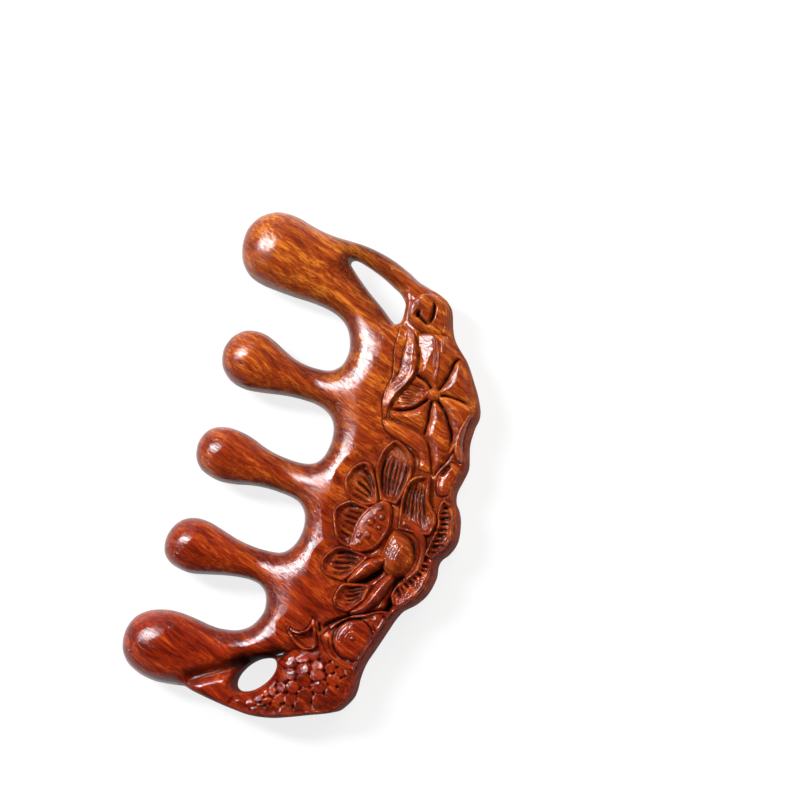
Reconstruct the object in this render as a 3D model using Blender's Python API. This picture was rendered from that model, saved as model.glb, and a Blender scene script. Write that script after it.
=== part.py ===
# Scalp massage comb, carved from one piece of hardwood and laid on its flat back.
# X runs along the comb, Y from the tooth tips to the carved back, Z up from the flat back.
# The wood is shown as its carved elements, with a thin cut between each and the next.

import math

import bmesh
import bpy
from mathutils import Vector

MM = 0.001

# Driving dimensions
# The comb was drawn on a sheet, and every outline point is a pair of shares of the sheet.
SHEET_LENGTH = 115 * MM
SHEET_HEIGHT = 69 * MM
SHEET_MIDDLE_SHARES = (0.4907, 0.4835)
BLANK_THICKNESS = 14.5 * MM
CARVING_DEPTH = 3.0 * MM
CLEARANCE = 0.3 * MM
OVERRUN = 2.0 * MM

# Teeth
MIDDLE_KNOB_WIDTH = 12.9 * MM
MIDDLE_KNOB_THICKNESS = 12.5 * MM
MIDDLE_NECK_WIDTH = 8.0 * MM
END_KNOB_WIDTH = 17.2 * MM
END_KNOB_THICKNESS = 14.2 * MM
END_NECK_WIDTH = 9.3 * MM
NECK_THICKNESS = 8.0 * MM

# Back
ARCH_ROUND = 5.5 * MM
ARCH_FLARE = 1.6 * MM
HOLE_ROUND = 2.0 * MM
BACK_EDGE_ROUND = 1.2 * MM
EDGE_LAND = 0.6 * MM
RAMP_LENGTH = 10.0 * MM
CARP_HOLE_LENGTH = 11.2 * MM
CARP_HOLE_WIDTH = 6.6 * MM
CARP_HOLE_CHAMFER = 1.0 * MM
CARP_HOLE_CHAMFER_DEPTH = 3.0 * MM

# Stem
STEM_WIDTH = 4.3 * MM
STEM_THICKNESS = 6.0 * MM

# Levels that follow from the sizes above
MIDDLE_Z = BLANK_THICKNESS / 2
GROUND_Z = BLANK_THICKNESS - CARVING_DEPTH
RELIEF_Z = GROUND_Z + CLEARANCE

# How finely round shapes are cut
TOOTH_SIDES = 18
TOOTH_STEPS = 9
CAP_STEPS = 4
CAP_TURN = math.radians(82)
ARCH_STEPS = 12
EDGE_STEPS = 3
RAMP_STEPS = 4
BACK_EDGE_STEPS = 64
TEARDROP_STEPS = 7
STEM_STEPS = 12
STEM_SIDES = 12
HOLE_SIDES = 20
BOSS_SIDES = 16
EYE_SIDES = 24
CURVE_STEPS = 8
SMOOTH_ANGLE = math.radians(50)
WELD_SHARE = 0.01


def on_sheet(point):
    """The place of a pair of shares, measured from the comb's middle."""
    x = (point[0] - SHEET_MIDDLE_SHARES[0]) * SHEET_LENGTH
    y = (point[1] - SHEET_MIDDLE_SHARES[1]) * SHEET_HEIGHT
    return Vector((x, y))


def smoothstep(t):
    t = min(max(t, 0.0), 1.0)
    return t * t * (3 - 2 * t)


def left_of(direction):
    return Vector((-direction.y, direction.x))


def spline(p0, p1, p2, p3, t):
    """A point on the smooth curve that runs from p1 to p2."""
    return 0.5 * (2 * p1 + (p2 - p0) * t + (2 * p0 - 5 * p1 + 4 * p2 - p3) * t * t
                  + (3 * p1 - p0 - 3 * p2 + p3) * t ** 3)


def even(points, count):
    """The points of a line, spread evenly along its length."""
    lengths = [0.0]
    for a, b in zip(points, points[1:]):
        lengths.append(lengths[-1] + (b - a).length)
    spread, i = [], 0
    for k in range(count):
        want = lengths[-1] * k / (count - 1)
        while i < len(points) - 2 and lengths[i + 1] < want:
            i += 1
        span = lengths[i + 1] - lengths[i]
        spread.append(points[i].lerp(points[i + 1], (want - lengths[i]) / span if span else 0.0))
    return spread


def smooth_line(shares, count):
    """An open smooth curve through points of the sheet, as evenly spread points."""
    points = [on_sheet(p) for p in shares]
    ends = [2 * points[0] - points[1]] + points + [2 * points[-1] - points[-2]]
    fine = []
    for i in range(len(points) - 1):
        fine += [spline(*ends[i:i + 4], k / CURVE_STEPS) for k in range(CURVE_STEPS)]
    return even(fine + [points[-1]], count)


def smooth_loop(shares, count):
    """A closed smooth curve through points of the sheet, as evenly spread points."""
    points = [on_sheet(p) for p in shares]
    n = len(points)
    fine = []
    for i in range(n):
        four = [points[(i + k - 1) % n] for k in range(4)]
        fine += [spline(*four, k / CURVE_STEPS) for k in range(CURVE_STEPS)]
    return even(fine + [points[0]], count + 1)[:-1]


def material(name, colour, roughness):
    made = bpy.data.materials.new(name)
    made.use_nodes = True
    shader = made.node_tree.nodes["Principled BSDF"]
    shader.inputs["Base Color"].default_value = (*colour, 1.0)
    shader.inputs["Roughness"].default_value = roughness
    shader.inputs["Metallic"].default_value = 0.0
    return made


def add_object(name, bm, wood):
    """A closed mesh as one named object of the comb."""
    bmesh.ops.remove_doubles(bm, verts=bm.verts, dist=CLEARANCE * WELD_SHARE)
    bmesh.ops.recalc_face_normals(bm, faces=bm.faces)
    mesh = bpy.data.meshes.new(name)
    bm.to_mesh(mesh)
    bm.free()
    mesh.materials.append(wood)
    mesh.shade_smooth()
    mesh.set_sharp_from_angle(angle=SMOOTH_ANGLE)
    made = bpy.data.objects.new(name, mesh)
    bpy.context.scene.collection.objects.link(made)
    return made


def add_cutter(name, bm):
    """A closed mesh that only cuts others."""
    made = add_object(name, bm, None)
    made.hide_render = True
    made.display_type = "WIRE"
    return made


def cut(target, cutter):
    """Takes one object's shape out of another."""
    tool = target.modifiers.new("cut_" + cutter.name, "BOOLEAN")
    tool.operation = "DIFFERENCE"
    tool.object = cutter
    tool.solver = "EXACT"


def skin_rings(bm, rings):
    """Joins rings of equal count into a tube and closes its two ends."""
    made = [[bm.verts.new(p) for p in ring] for ring in rings]
    count = len(made[0])
    for a, b in zip(made, made[1:]):
        for i in range(count):
            j = (i + 1) % count
            bm.faces.new((a[i], a[j], b[j], b[i]))
    bm.faces.new(made[0][::-1])
    bm.faces.new(made[-1])
    bm.normal_update()


SHARP_CORNER_SHARE = 0.5


def grown_loop(loop, distance):
    """A closed outline moved outward by a distance; the outline runs anticlockwise."""
    n = len(loop)
    moved = []
    for i in range(n):
        before = (loop[i] - loop[i - 1]).normalized()
        after = (loop[(i + 1) % n] - loop[i]).normalized()
        outward = -(left_of(before) + left_of(after)).normalized()
        stretch = max(outward.dot(-left_of(before)), SHARP_CORNER_SHARE)
        moved.append(loop[i] + outward * distance / stretch)
    return moved


def anticlockwise(loop):
    area = sum(a.cross(b) for a, b in zip(loop, loop[1:] + loop[:1]))
    return loop if area > 0 else loop[::-1]


def at_height(loop, z):
    return [Vector((p.x, p.y, z)) for p in loop]


# Teeth
# Each tooth: knob middle, root middle, root direction, knob and neck size, and where along
# the tooth the knob starts and stops turning into the neck.
def tooth(name, knob_share, root_share, lean_share, end, taper_shares, knob_width_share=1.0):
    return {
        "name": name,
        "knob": on_sheet(knob_share),
        "root": on_sheet(root_share),
        "lean": Vector(lean_share).normalized(),
        "knob_half": (END_KNOB_WIDTH if end else MIDDLE_KNOB_WIDTH) * knob_width_share / 2,
        "knob_deep": (END_KNOB_THICKNESS if end else MIDDLE_KNOB_THICKNESS) / 2,
        "neck_half": (END_NECK_WIDTH if end else MIDDLE_NECK_WIDTH) / 2,
        "neck_deep": NECK_THICKNESS / 2,
        "taper": taper_shares,
    }


TEETH = [
    tooth("tooth_1", (0.0695, 0.114), (0.138, 0.424), (0.63, 0.775), True, (0.28, 0.92), 1.06),
    tooth("tooth_2", (0.3035, 0.133), (0.3155, 0.39), (0.0, 1.0), False, (0.0, 0.74), 1.08),
    tooth("tooth_3", (0.5045, 0.134), (0.5103, 0.39), (0.0, 1.0), False, (0.0, 0.74), 1.00),
    tooth("tooth_4", (0.7005, 0.127), (0.7005, 0.39), (0.0, 1.0), False, (0.0, 0.74), 1.01),
    tooth("tooth_5", (0.9100, 0.118), (0.879, 0.362), (-0.50, 0.87), True, (0.1, 1.0), 0.99),
]


def tooth_section(t, share):
    """Middle, direction, half width and half thickness at a share of the way to the root."""
    reach = (t["root"] - t["knob"]).length / 3
    p0, p3 = t["knob"], t["root"]
    p1, p2 = p0 + Vector((0, reach)), p3 - t["lean"] * reach
    a, b = 1 - share, share
    middle = p0 * a ** 3 + p1 * 3 * a * a * b + p2 * 3 * a * b * b + p3 * b ** 3
    direction = (p1 - p0) * a * a + (p2 - p1) * 2 * a * b + (p3 - p2) * b * b
    start, stop = t["taper"]
    neck = smoothstep((share - start) / (stop - start))
    half = t["knob_half"] + (t["neck_half"] - t["knob_half"]) * neck
    deep = t["knob_deep"] + (t["neck_deep"] - t["knob_deep"]) * neck
    return middle, direction.normalized(), half, deep


def oval_ring(middle, direction, half, deep, sides):
    """A ring of points across a tube that runs level."""
    across = left_of(direction)
    ring = []
    for k in range(sides):
        a = 2 * math.pi * k / sides
        flat = middle + across * half * math.cos(a)
        ring.append(Vector((flat.x, flat.y, MIDDLE_Z + deep * math.sin(a))))
    return ring


def tooth_mesh(t, grow=0.0):
    """A tooth from its round tip to its root, or the same shape grown all round."""
    rings = []
    middle, direction, half, deep = tooth_section(t, 0.0)
    for k in range(CAP_STEPS):
        a = CAP_TURN * (CAP_STEPS - k) / CAP_STEPS
        back = middle - direction * (half + grow) * math.sin(a)
        rings.append(oval_ring(back, direction, (half + grow) * math.cos(a),
                               (deep + grow) * math.cos(a), TOOTH_SIDES))
    for k in range(TOOTH_STEPS + 1):
        middle, direction, half, deep = tooth_section(t, k / TOOTH_STEPS)
        middle = middle + direction * grow * (k == TOOTH_STEPS)
        rings.append(oval_ring(middle, direction, half + grow, deep + grow, TOOTH_SIDES))
    bm = bmesh.new()
    skin_rings(bm, rings)
    return bm


def root_corners(t):
    """The back's two corners at a tooth's root, a clearance away from the tooth."""
    middle, direction, half, _ = tooth_section(t, 1.0)
    middle = middle + direction * CLEARANCE
    across = left_of(direction)
    return middle + across * half, middle - across * half


# Back
ARCH_TOP_SHARES = (0.455, 0.486, 0.479, 0.445)
ARCH_PULL_SHARE = 0.375
NECK_ROOM_SHARE = 0.82
BACK_EDGE_SHARES = [
    (0.989, 0.430), (0.991, 0.500), (0.985, 0.560), (0.972, 0.621), (0.956, 0.684),
    (0.940, 0.742), (0.925, 0.776), (0.905, 0.798), (0.885, 0.805), (0.860, 0.803),
    (0.830, 0.808), (0.800, 0.826), (0.760, 0.846), (0.730, 0.859), (0.705, 0.876),
    (0.692, 0.898), (0.675, 0.921), (0.650, 0.944), (0.620, 0.951), (0.592, 0.946),
    (0.577, 0.953), (0.560, 0.971), (0.543, 0.982), (0.520, 0.983), (0.495, 0.973),
    (0.473, 0.958), (0.458, 0.940), (0.443, 0.936), (0.420, 0.944), (0.400, 0.949),
    (0.380, 0.946), (0.358, 0.934), (0.335, 0.927), (0.310, 0.928), (0.290, 0.933),
    (0.274, 0.931), (0.258, 0.922), (0.240, 0.905), (0.220, 0.884), (0.200, 0.863),
    (0.179, 0.836), (0.163, 0.808), (0.151, 0.795), (0.126, 0.773), (0.103, 0.756),
    (0.087, 0.742), (0.074, 0.719), (0.066, 0.684), (0.061, 0.642),
]
HOLE_DEPTH_SHARE = 0.5
TEARDROP_TOP_SHARES = [(0.100, 0.582), (0.120, 0.587), (0.138, 0.585), (0.149, 0.572)]
TEARDROP_SIDE_SHARES = [(0.144, 0.553), (0.127, 0.515)]
CARP_HOLE_MIDDLE_SHARE = (0.908, 0.472)
CARP_HOLE_SLANT = math.radians(-40)
TAIL_JOINT_SHARE = 0.388
TAIL_WIDTH_SHARES = (0.927, 0.989)


def corner(point, rounding, full, inward=None):
    """One point of the back's outline, with how its edge is rounded there."""
    return {"at": point, "round": rounding, "full": full, "inward": inward}


def arch_points(left_tooth, right_tooth, top_share):
    """The round top of the gap between two teeth."""
    start, stop = root_corners(left_tooth)[1], root_corners(right_tooth)[0]
    rise = on_sheet((0, top_share)).y - (start.y + stop.y) / 2
    one, other = left_tooth["lean"], right_tooth["lean"]
    reach = rise / ARCH_PULL_SHARE / (one.y ** 3 + other.y ** 3)
    flare = (stop - start).normalized() * ARCH_FLARE
    p1 = start + one * one.y ** 2 * reach + flare
    p2 = stop + other * other.y ** 2 * reach - flare
    points = []
    for k in range(ARCH_STEPS + 1):
        a, b = 1 - k / ARCH_STEPS, k / ARCH_STEPS
        points.append(start * a ** 3 + p1 * 3 * a * a * b + p2 * 3 * a * b * b + stop * b ** 3)
    return points


def room_inward(point, inward):
    """How far an edge can be rounded before it meets the middle line of a neck."""
    room = ARCH_ROUND
    for t in TEETH:
        across = left_of(t["lean"])
        away = (t["root"] - point).dot(across)
        facing = inward.dot(across)
        if away * facing > 0 and abs(away) < ARCH_ROUND + t["neck_half"]:
            room = min(room, NECK_ROOM_SHARE * away / facing)
    return room


def stem_end():
    """Where the stem meets the back, and its direction there."""
    line = smooth_line(STEM_SHARES, 2 * STEM_STEPS)
    return line[-1], (line[-1] - line[-2]).normalized()


def back_outline():
    """The back's outline, anticlockwise from the first gap."""
    points = []
    for left, right, top in zip(TEETH, TEETH[1:], ARCH_TOP_SHARES):
        arch = arch_points(left, right, top)
        into_left = left_of(left["lean"])
        into_right = -left_of(right["lean"])
        points.append(corner(arch[0], left["neck_half"] * NECK_ROOM_SHARE, 1.0, into_left))
        for before, at, after in zip(arch, arch[1:], arch[2:]):
            inward = left_of((after - before).normalized())
            points.append(corner(at, room_inward(at, inward), 1.0, inward))
        points.append(corner(arch[-1], right["neck_half"] * NECK_ROOM_SHARE, 1.0, into_right))
    last = TEETH[-1]
    end = root_corners(last)[1]
    points.append(corner(end, last["neck_half"] * NECK_ROOM_SHARE, 1.0, left_of(last["lean"])))
    tail_left, tail_right = [on_sheet((x, TAIL_JOINT_SHARE)) for x in TAIL_WIDTH_SHARES]
    points.append(corner(tail_left, BACK_EDGE_ROUND, 0.0))
    points.append(corner(tail_right, BACK_EDGE_ROUND, 0.0))
    for at in smooth_line(BACK_EDGE_SHARES, BACK_EDGE_STEPS):
        points.append(corner(at, BACK_EDGE_ROUND, 0.0))
    at, direction = stem_end()
    across = left_of(direction)
    seat = at + direction * CLEARANCE
    for side in (1, -1):
        points.append(corner(seat + across * STEM_WIDTH / 2 * side, BACK_EDGE_ROUND, 0.0,
                             -across * side))
    top = smooth_line(TEARDROP_TOP_SHARES, TEARDROP_STEPS)
    for at in top + [on_sheet(p) for p in TEARDROP_SIDE_SHARES]:
        points.append(corner(at, HOLE_ROUND, HOLE_DEPTH_SHARE))
    first = TEETH[0]
    points.append(corner(root_corners(first)[0], first["neck_half"] * NECK_ROOM_SHARE, 1.0,
                         -left_of(first["lean"])))
    return points


def ramp_share(y):
    """0 at the roots of the middle teeth, 1 where the back has its full thickness."""
    return smoothstep((y - TEETH[2]["root"].y) / RAMP_LENGTH)


def thin_towards_teeth(bm):
    """Draws the back's two faces in to the thickness of the necks."""
    over, under = GROUND_Z - MIDDLE_Z, MIDDLE_Z
    for v in bm.verts:
        full = over if v.co.z > MIDDLE_Z else under
        half = NECK_THICKNESS / 2
        scale = (half + (full - half) * ramp_share(v.co.y)) / full
        v.co.z = MIDDLE_Z + (v.co.z - MIDDLE_Z) * scale


def back_mesh():
    """The board behind the teeth, with full round edges in the gaps."""
    outline = back_outline()
    n = len(outline)
    for i, c in enumerate(outline):
        if c["inward"] is None:
            before = (c["at"] - outline[i - 1]["at"]).normalized()
            after = (outline[(i + 1) % n]["at"] - c["at"]).normalized()
            c["inward"] = (left_of(before) + left_of(after)).normalized()
    over = GROUND_Z - MIDDLE_Z - EDGE_LAND / 2
    under = MIDDLE_Z - EDGE_LAND / 2
    lower, upper = [], []
    for k in range(EDGE_STEPS + 1):
        a = math.pi / 2 * k / EDGE_STEPS
        low, high = [], []
        for c in outline:
            flat = c["at"] + c["inward"] * c["round"] * (1 - math.cos(a))
            drop = c["round"] + (under - c["round"]) * c["full"]
            rise = c["round"] + (over - c["round"]) * c["full"]
            low.append(Vector((flat.x, flat.y, drop * (1 - math.sin(a)))))
            high.append(Vector((flat.x, flat.y, GROUND_Z - rise * (1 - math.sin(a)))))
        lower.append(low)
        upper.append(high)
    bm = bmesh.new()
    skin_rings(bm, lower[::-1] + upper)
    bmesh.ops.triangulate(bm, faces=[f for f in bm.faces if len(f.verts) > 4])
    for k in range(RAMP_STEPS + 1):
        y = TEETH[2]["root"].y + RAMP_LENGTH * k / RAMP_STEPS
        parts = bm.verts[:] + bm.edges[:] + bm.faces[:]
        bmesh.ops.bisect_plane(bm, geom=parts, plane_co=(0, y, 0), plane_no=(0, 1, 0),
                               dist=CLEARANCE * WELD_SHARE)
    thin_towards_teeth(bm)
    return bm


def carp_hole_mesh():
    """The oval hole beside the carp, opened out towards its upper edge."""
    middle = on_sheet(CARP_HOLE_MIDDLE_SHARE)
    along = Vector((math.cos(CARP_HOLE_SLANT), math.sin(CARP_HOLE_SLANT)))
    across = left_of(along)
    levels = [(-OVERRUN, 0.0), (GROUND_Z - CARP_HOLE_CHAMFER_DEPTH, 0.0), (GROUND_Z, CARP_HOLE_CHAMFER),
              (BLANK_THICKNESS + OVERRUN, CARP_HOLE_CHAMFER)]
    rings = []
    for z, wider in levels:
        ring = []
        for k in range(HOLE_SIDES):
            a = 2 * math.pi * k / HOLE_SIDES
            long_half, short_half = CARP_HOLE_LENGTH / 2 + wider, CARP_HOLE_WIDTH / 2 + wider
            flat = middle + along * long_half * math.cos(a) + across * short_half * math.sin(a)
            ring.append(Vector((flat.x, flat.y, z)))
        rings.append(ring)
    bm = bmesh.new()
    skin_rings(bm, rings)
    return bm


# Stem
STEM_SHARES = [(0.042, 0.295), (0.029, 0.345), (0.025, 0.390), (0.033, 0.440), (0.045, 0.495),
               (0.060, 0.550), (0.071, 0.587)]


def stem_mesh():
    line = smooth_line(STEM_SHARES, STEM_STEPS + 1)
    rings = []
    for i, at in enumerate(line):
        before, after = line[max(i - 1, 0)], line[min(i + 1, len(line) - 1)]
        rings.append(oval_ring(at, (after - before).normalized(), STEM_WIDTH / 2,
                               STEM_THICKNESS / 2, STEM_SIDES))
    bm = bmesh.new()
    skin_rings(bm, rings)
    return bm


# Relief
# A tile lies between two edges that run from its base to its tip. Its top is cupped or domed
# across, and rises or falls along. Heights are shares of the carving depth.
CUPPED_SHARES = [(0.0, 0.75), (0.12, 1.0), (0.32, 0.72), (0.5, 0.62), (0.68, 0.72), (0.88, 1.0),
                 (1.0, 0.75)]
DOMED_SHARES = [(0.0, 0.35), (0.15, 0.75), (0.35, 0.95), (0.5, 1.0), (0.65, 0.95), (0.85, 0.75),
                (1.0, 0.35)]

TILES = {
    "petal_fold_6": {
        "edge_shares": [[(0.616, 0.772), (0.622, 0.745), (0.635, 0.715), (0.652, 0.697), (0.674, 0.680)],
                        [(0.624, 0.782), (0.640, 0.760), (0.656, 0.737), (0.669, 0.712), (0.680, 0.688)]],
        "across_shares": DOMED_SHARES, "along_shares": (0.85, 1.0, 0.95, 0.8), "steps": 7,
    },
    "petal_fold_7": {
        "edge_shares": [[(0.643, 0.812), (0.655, 0.794), (0.672, 0.778), (0.700, 0.762), (0.722, 0.745),
                         (0.733, 0.722)],
                        [(0.650, 0.825), (0.670, 0.820), (0.695, 0.804), (0.715, 0.783), (0.730, 0.757),
                         (0.738, 0.728)]],
        "across_shares": DOMED_SHARES, "along_shares": (0.9, 1.0, 0.95, 0.8), "steps": 8,
    },
    "bud_hood": {
        "edge_shares": [[(0.533, 0.795), (0.531, 0.830), (0.541, 0.866), (0.560, 0.889), (0.590, 0.901),
                         (0.620, 0.896), (0.644, 0.872)],
                        [(0.550, 0.795), (0.551, 0.828), (0.559, 0.853), (0.573, 0.872), (0.595, 0.882),
                         (0.620, 0.877), (0.637, 0.862)]],
        "across_shares": DOMED_SHARES, "along_shares": (0.75, 0.95, 0.95, 0.85), "steps": 10,
    },
    "leaf_fold_inner": {
        "edge_shares": [[(0.166, 0.608), (0.200, 0.609), (0.240, 0.622), (0.260, 0.626), (0.280, 0.619),
                         (0.310, 0.617), (0.338, 0.634)],
                        [(0.166, 0.652), (0.200, 0.678), (0.235, 0.688), (0.265, 0.670), (0.290, 0.648),
                         (0.315, 0.638), (0.338, 0.641)]],
        "across_shares": DOMED_SHARES, "along_shares": (0.7, 0.85, 0.85, 0.7), "steps": 10,
    },
    "leaf_fold_lower": {
        "edge_shares": [[(0.354, 0.646), (0.366, 0.663), (0.374, 0.700), (0.381, 0.750), (0.393, 0.786),
                         (0.418, 0.800)],
                        [(0.345, 0.650), (0.349, 0.700), (0.352, 0.742), (0.358, 0.775), (0.372, 0.805),
                         (0.390, 0.826), (0.415, 0.832)]],
        "across_shares": DOMED_SHARES, "along_shares": (0.75, 0.85, 0.85, 0.7), "steps": 9,
    },
    "leaf_fold_outer": {
        "edge_shares": [[(0.290, 0.903), (0.310, 0.896), (0.330, 0.891), (0.350, 0.892), (0.370, 0.903),
                         (0.382, 0.921)],
                        [(0.290, 0.916), (0.310, 0.911), (0.335, 0.910), (0.355, 0.917), (0.370, 0.926),
                         (0.379, 0.930)]],
        "across_shares": DOMED_SHARES, "along_shares": (0.6, 0.75, 0.75, 0.6), "steps": 7,
    },
    "petal_1": {
        "edge_shares": [[(0.500, 0.702), (0.475, 0.678), (0.450, 0.664), (0.420, 0.662), (0.400, 0.672),
                         (0.382, 0.688)],
                        [(0.500, 0.760), (0.480, 0.772), (0.450, 0.779), (0.425, 0.779), (0.402, 0.764),
                         (0.388, 0.738), (0.380, 0.705)]],
        "across_shares": CUPPED_SHARES, "along_shares": (0.55, 0.7, 0.85, 0.9), "steps": 8,
    },
    "petal_2": {
        "edge_shares": [[(0.488, 0.690), (0.465, 0.670), (0.446, 0.652), (0.439, 0.630), (0.445, 0.605),
                         (0.460, 0.584), (0.480, 0.575)],
                        [(0.514, 0.695), (0.520, 0.665), (0.521, 0.640), (0.518, 0.612), (0.508, 0.590),
                         (0.490, 0.576)]],
        "across_shares": CUPPED_SHARES, "along_shares": (0.5, 0.65, 0.8, 0.9), "steps": 8,
    },
    "petal_3": {
        "edge_shares": [[(0.528, 0.674), (0.524, 0.645), (0.524, 0.612), (0.535, 0.587), (0.549, 0.572)],
                        [(0.612, 0.650), (0.610, 0.625), (0.600, 0.602), (0.582, 0.585), (0.558, 0.571)]],
        "across_shares": CUPPED_SHARES, "along_shares": (0.5, 0.65, 0.8, 0.9), "steps": 7,
    },
    "petal_4": {
        "edge_shares": [[(0.545, 0.788), (0.520, 0.784), (0.490, 0.780), (0.460, 0.781), (0.445, 0.792),
                         (0.436, 0.812), (0.431, 0.836)],
                        [(0.535, 0.875), (0.517, 0.903), (0.502, 0.897), (0.489, 0.876), (0.472, 0.859),
                         (0.450, 0.851), (0.432, 0.846)]],
        "across_shares": CUPPED_SHARES, "along_shares": (0.6, 0.7, 0.8, 0.85), "steps": 9,
    },
    "petal_5": {
        "edge_shares": [[(0.468, 0.906), (0.490, 0.901), (0.518, 0.913), (0.550, 0.910), (0.584, 0.903)],
                        [(0.466, 0.922), (0.478, 0.940), (0.497, 0.955), (0.520, 0.965), (0.542, 0.964),
                         (0.560, 0.951), (0.575, 0.930), (0.586, 0.911)]],
        "across_shares": CUPPED_SHARES, "along_shares": (0.7, 0.85, 0.85, 0.7), "steps": 9,
    },
    "petal_6": {
        "edge_shares": [[(0.624, 0.696), (0.619, 0.668), (0.618, 0.640), (0.623, 0.614), (0.636, 0.595),
                         (0.650, 0.585)],
                        [(0.664, 0.680), (0.676, 0.664), (0.680, 0.640), (0.680, 0.612), (0.675, 0.594),
                         (0.662, 0.584)]],
        "across_shares": CUPPED_SHARES, "along_shares": (0.5, 0.65, 0.8, 0.85), "steps": 7,
    },
    "petal_7": {
        "edge_shares": [[(0.679, 0.745), (0.684, 0.715), (0.687, 0.688), (0.693, 0.669), (0.710, 0.661)],
                        [(0.726, 0.728), (0.735, 0.712), (0.738, 0.690), (0.735, 0.670), (0.724, 0.660)]],
        "across_shares": CUPPED_SHARES, "along_shares": (0.5, 0.6, 0.75, 0.8), "steps": 6,
    },
    "petal_8": {
        "edge_shares": [[(0.603, 0.904), (0.625, 0.896), (0.643, 0.875), (0.658, 0.850), (0.680, 0.840)],
                        [(0.600, 0.922), (0.620, 0.932), (0.645, 0.925), (0.668, 0.904), (0.684, 0.880),
                         (0.694, 0.862), (0.692, 0.850)]],
        "across_shares": CUPPED_SHARES, "along_shares": (0.7, 0.85, 0.85, 0.7), "steps": 8,
    },
    "carp_fin": {
        "edge_shares": [[(0.777, 0.603), (0.795, 0.597), (0.807, 0.584), (0.812, 0.562), (0.806, 0.538)],
                        [(0.779, 0.609), (0.800, 0.624), (0.824, 0.638), (0.836, 0.610), (0.829, 0.567),
                         (0.811, 0.536)]],
        "across_shares": CUPPED_SHARES, "along_shares": (0.55, 0.7, 0.7, 0.55), "steps": 8,
    },
    "carp_body": {
        "edge_shares": [[(0.836, 0.640), (0.842, 0.612), (0.855, 0.588), (0.875, 0.568), (0.905, 0.558),
                         (0.935, 0.540), (0.959, 0.503), (0.970, 0.455), (0.972, 0.420)],
                        [(0.846, 0.782), (0.870, 0.784), (0.897, 0.780), (0.918, 0.757), (0.938, 0.710),
                         (0.956, 0.645), (0.972, 0.570), (0.981, 0.500), (0.981, 0.440), (0.980, 0.420)]],
        "across_shares": DOMED_SHARES, "along_shares": (0.9, 1.0, 0.9, 0.6), "steps": 12,
    },
}

# A mound lies inside one closed outline and rises in rings to a middle.
PILLOW_SHARES = [(0.0, 0.35), (0.12, 0.70), (0.35, 0.92), (0.7, 1.0)]
DISC_SHARES = [(0.0, 0.75), (0.12, 0.95), (0.5, 1.0)]
LEAF_SHARES = [(0.0, 0.45), (0.10, 0.80), (0.35, 1.0), (0.7, 0.92)]

MOUNDS = {
    "lotus_bud": {
        "loop_shares": [(0.557, 0.778), (0.580, 0.770), (0.610, 0.767), (0.632, 0.785), (0.642, 0.812),
                 (0.636, 0.844), (0.620, 0.863), (0.596, 0.868), (0.573, 0.854), (0.562, 0.830)],
        "middle_share": (0.602, 0.820), "ring_shares": PILLOW_SHARES, "height_share": 1.0, "count": 20,
    },
    "seed_pod": {
        "loop_shares": [(0.507, 0.718), (0.511, 0.744), (0.530, 0.756), (0.555, 0.761), (0.580, 0.752),
                 (0.600, 0.734), (0.612, 0.705), (0.615, 0.675), (0.610, 0.656), (0.588, 0.652),
                 (0.565, 0.653), (0.545, 0.662), (0.526, 0.684)],
        "middle_share": (0.565, 0.705), "ring_shares": DISC_SHARES, "height_share": 0.8, "count": 22,
    },
    "leaf_scroll": {
        "loop_shares": [(0.077, 0.665), (0.083, 0.700), (0.097, 0.725), (0.118, 0.741), (0.136, 0.734),
                 (0.146, 0.700), (0.145, 0.655), (0.130, 0.622), (0.103, 0.618), (0.084, 0.636)],
        "middle_share": (0.112, 0.680), "ring_shares": PILLOW_SHARES, "height_share": 0.75, "count": 20,
    },
    "leaf_tip_curl": {
        "loop_shares": [(0.391, 0.900), (0.388, 0.918), (0.401, 0.930), (0.420, 0.925), (0.440, 0.915),
                 (0.455, 0.898), (0.450, 0.881), (0.430, 0.873), (0.410, 0.884)],
        "middle_share": (0.422, 0.902), "ring_shares": PILLOW_SHARES, "height_share": 0.7, "count": 16,
    },
    "carp_head": {
        "loop_shares": [(0.719, 0.850), (0.740, 0.838), (0.770, 0.823), (0.800, 0.807), (0.826, 0.790),
                 (0.841, 0.770), (0.845, 0.735), (0.836, 0.695), (0.818, 0.668), (0.800, 0.652),
                 (0.783, 0.668), (0.762, 0.700), (0.744, 0.742), (0.733, 0.785), (0.722, 0.820)],
        "middle_share": (0.790, 0.757), "ring_shares": LEAF_SHARES, "height_share": 0.85, "count": 28,
    },
    "leaf_blade": {
        "loop_shares": [(0.160, 0.655), (0.153, 0.700), (0.152, 0.745), (0.164, 0.782), (0.186, 0.815),
                 (0.212, 0.846), (0.240, 0.875), (0.264, 0.898), (0.284, 0.898), (0.310, 0.888),
                 (0.340, 0.883), (0.368, 0.890), (0.388, 0.884), (0.410, 0.866), (0.424, 0.852),
                 (0.402, 0.833), (0.378, 0.816), (0.359, 0.795), (0.348, 0.758), (0.342, 0.700),
                 (0.340, 0.657), (0.322, 0.647), (0.295, 0.657), (0.268, 0.680), (0.240, 0.696),
                 (0.200, 0.688), (0.175, 0.668)],
        "middle_share": (0.268, 0.775), "ring_shares": LEAF_SHARES, "height_share": 0.65, "count": 44,
    },
}

LEAF_BOSS_MIDDLE_SHARE = (0.268, 0.775)
LEAF_BOSS_SIZE_SHARES = (0.0287, 0.0478)
LEAF_BOSS_RISE_SHARE = 0.85
CARP_EYE_MIDDLE_SHARE = (0.790, 0.757)
CARP_EYE_SIZE_SHARES = (0.0748, 0.1246)
CARP_EYE_RISE_SHARE = 1.0

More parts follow.
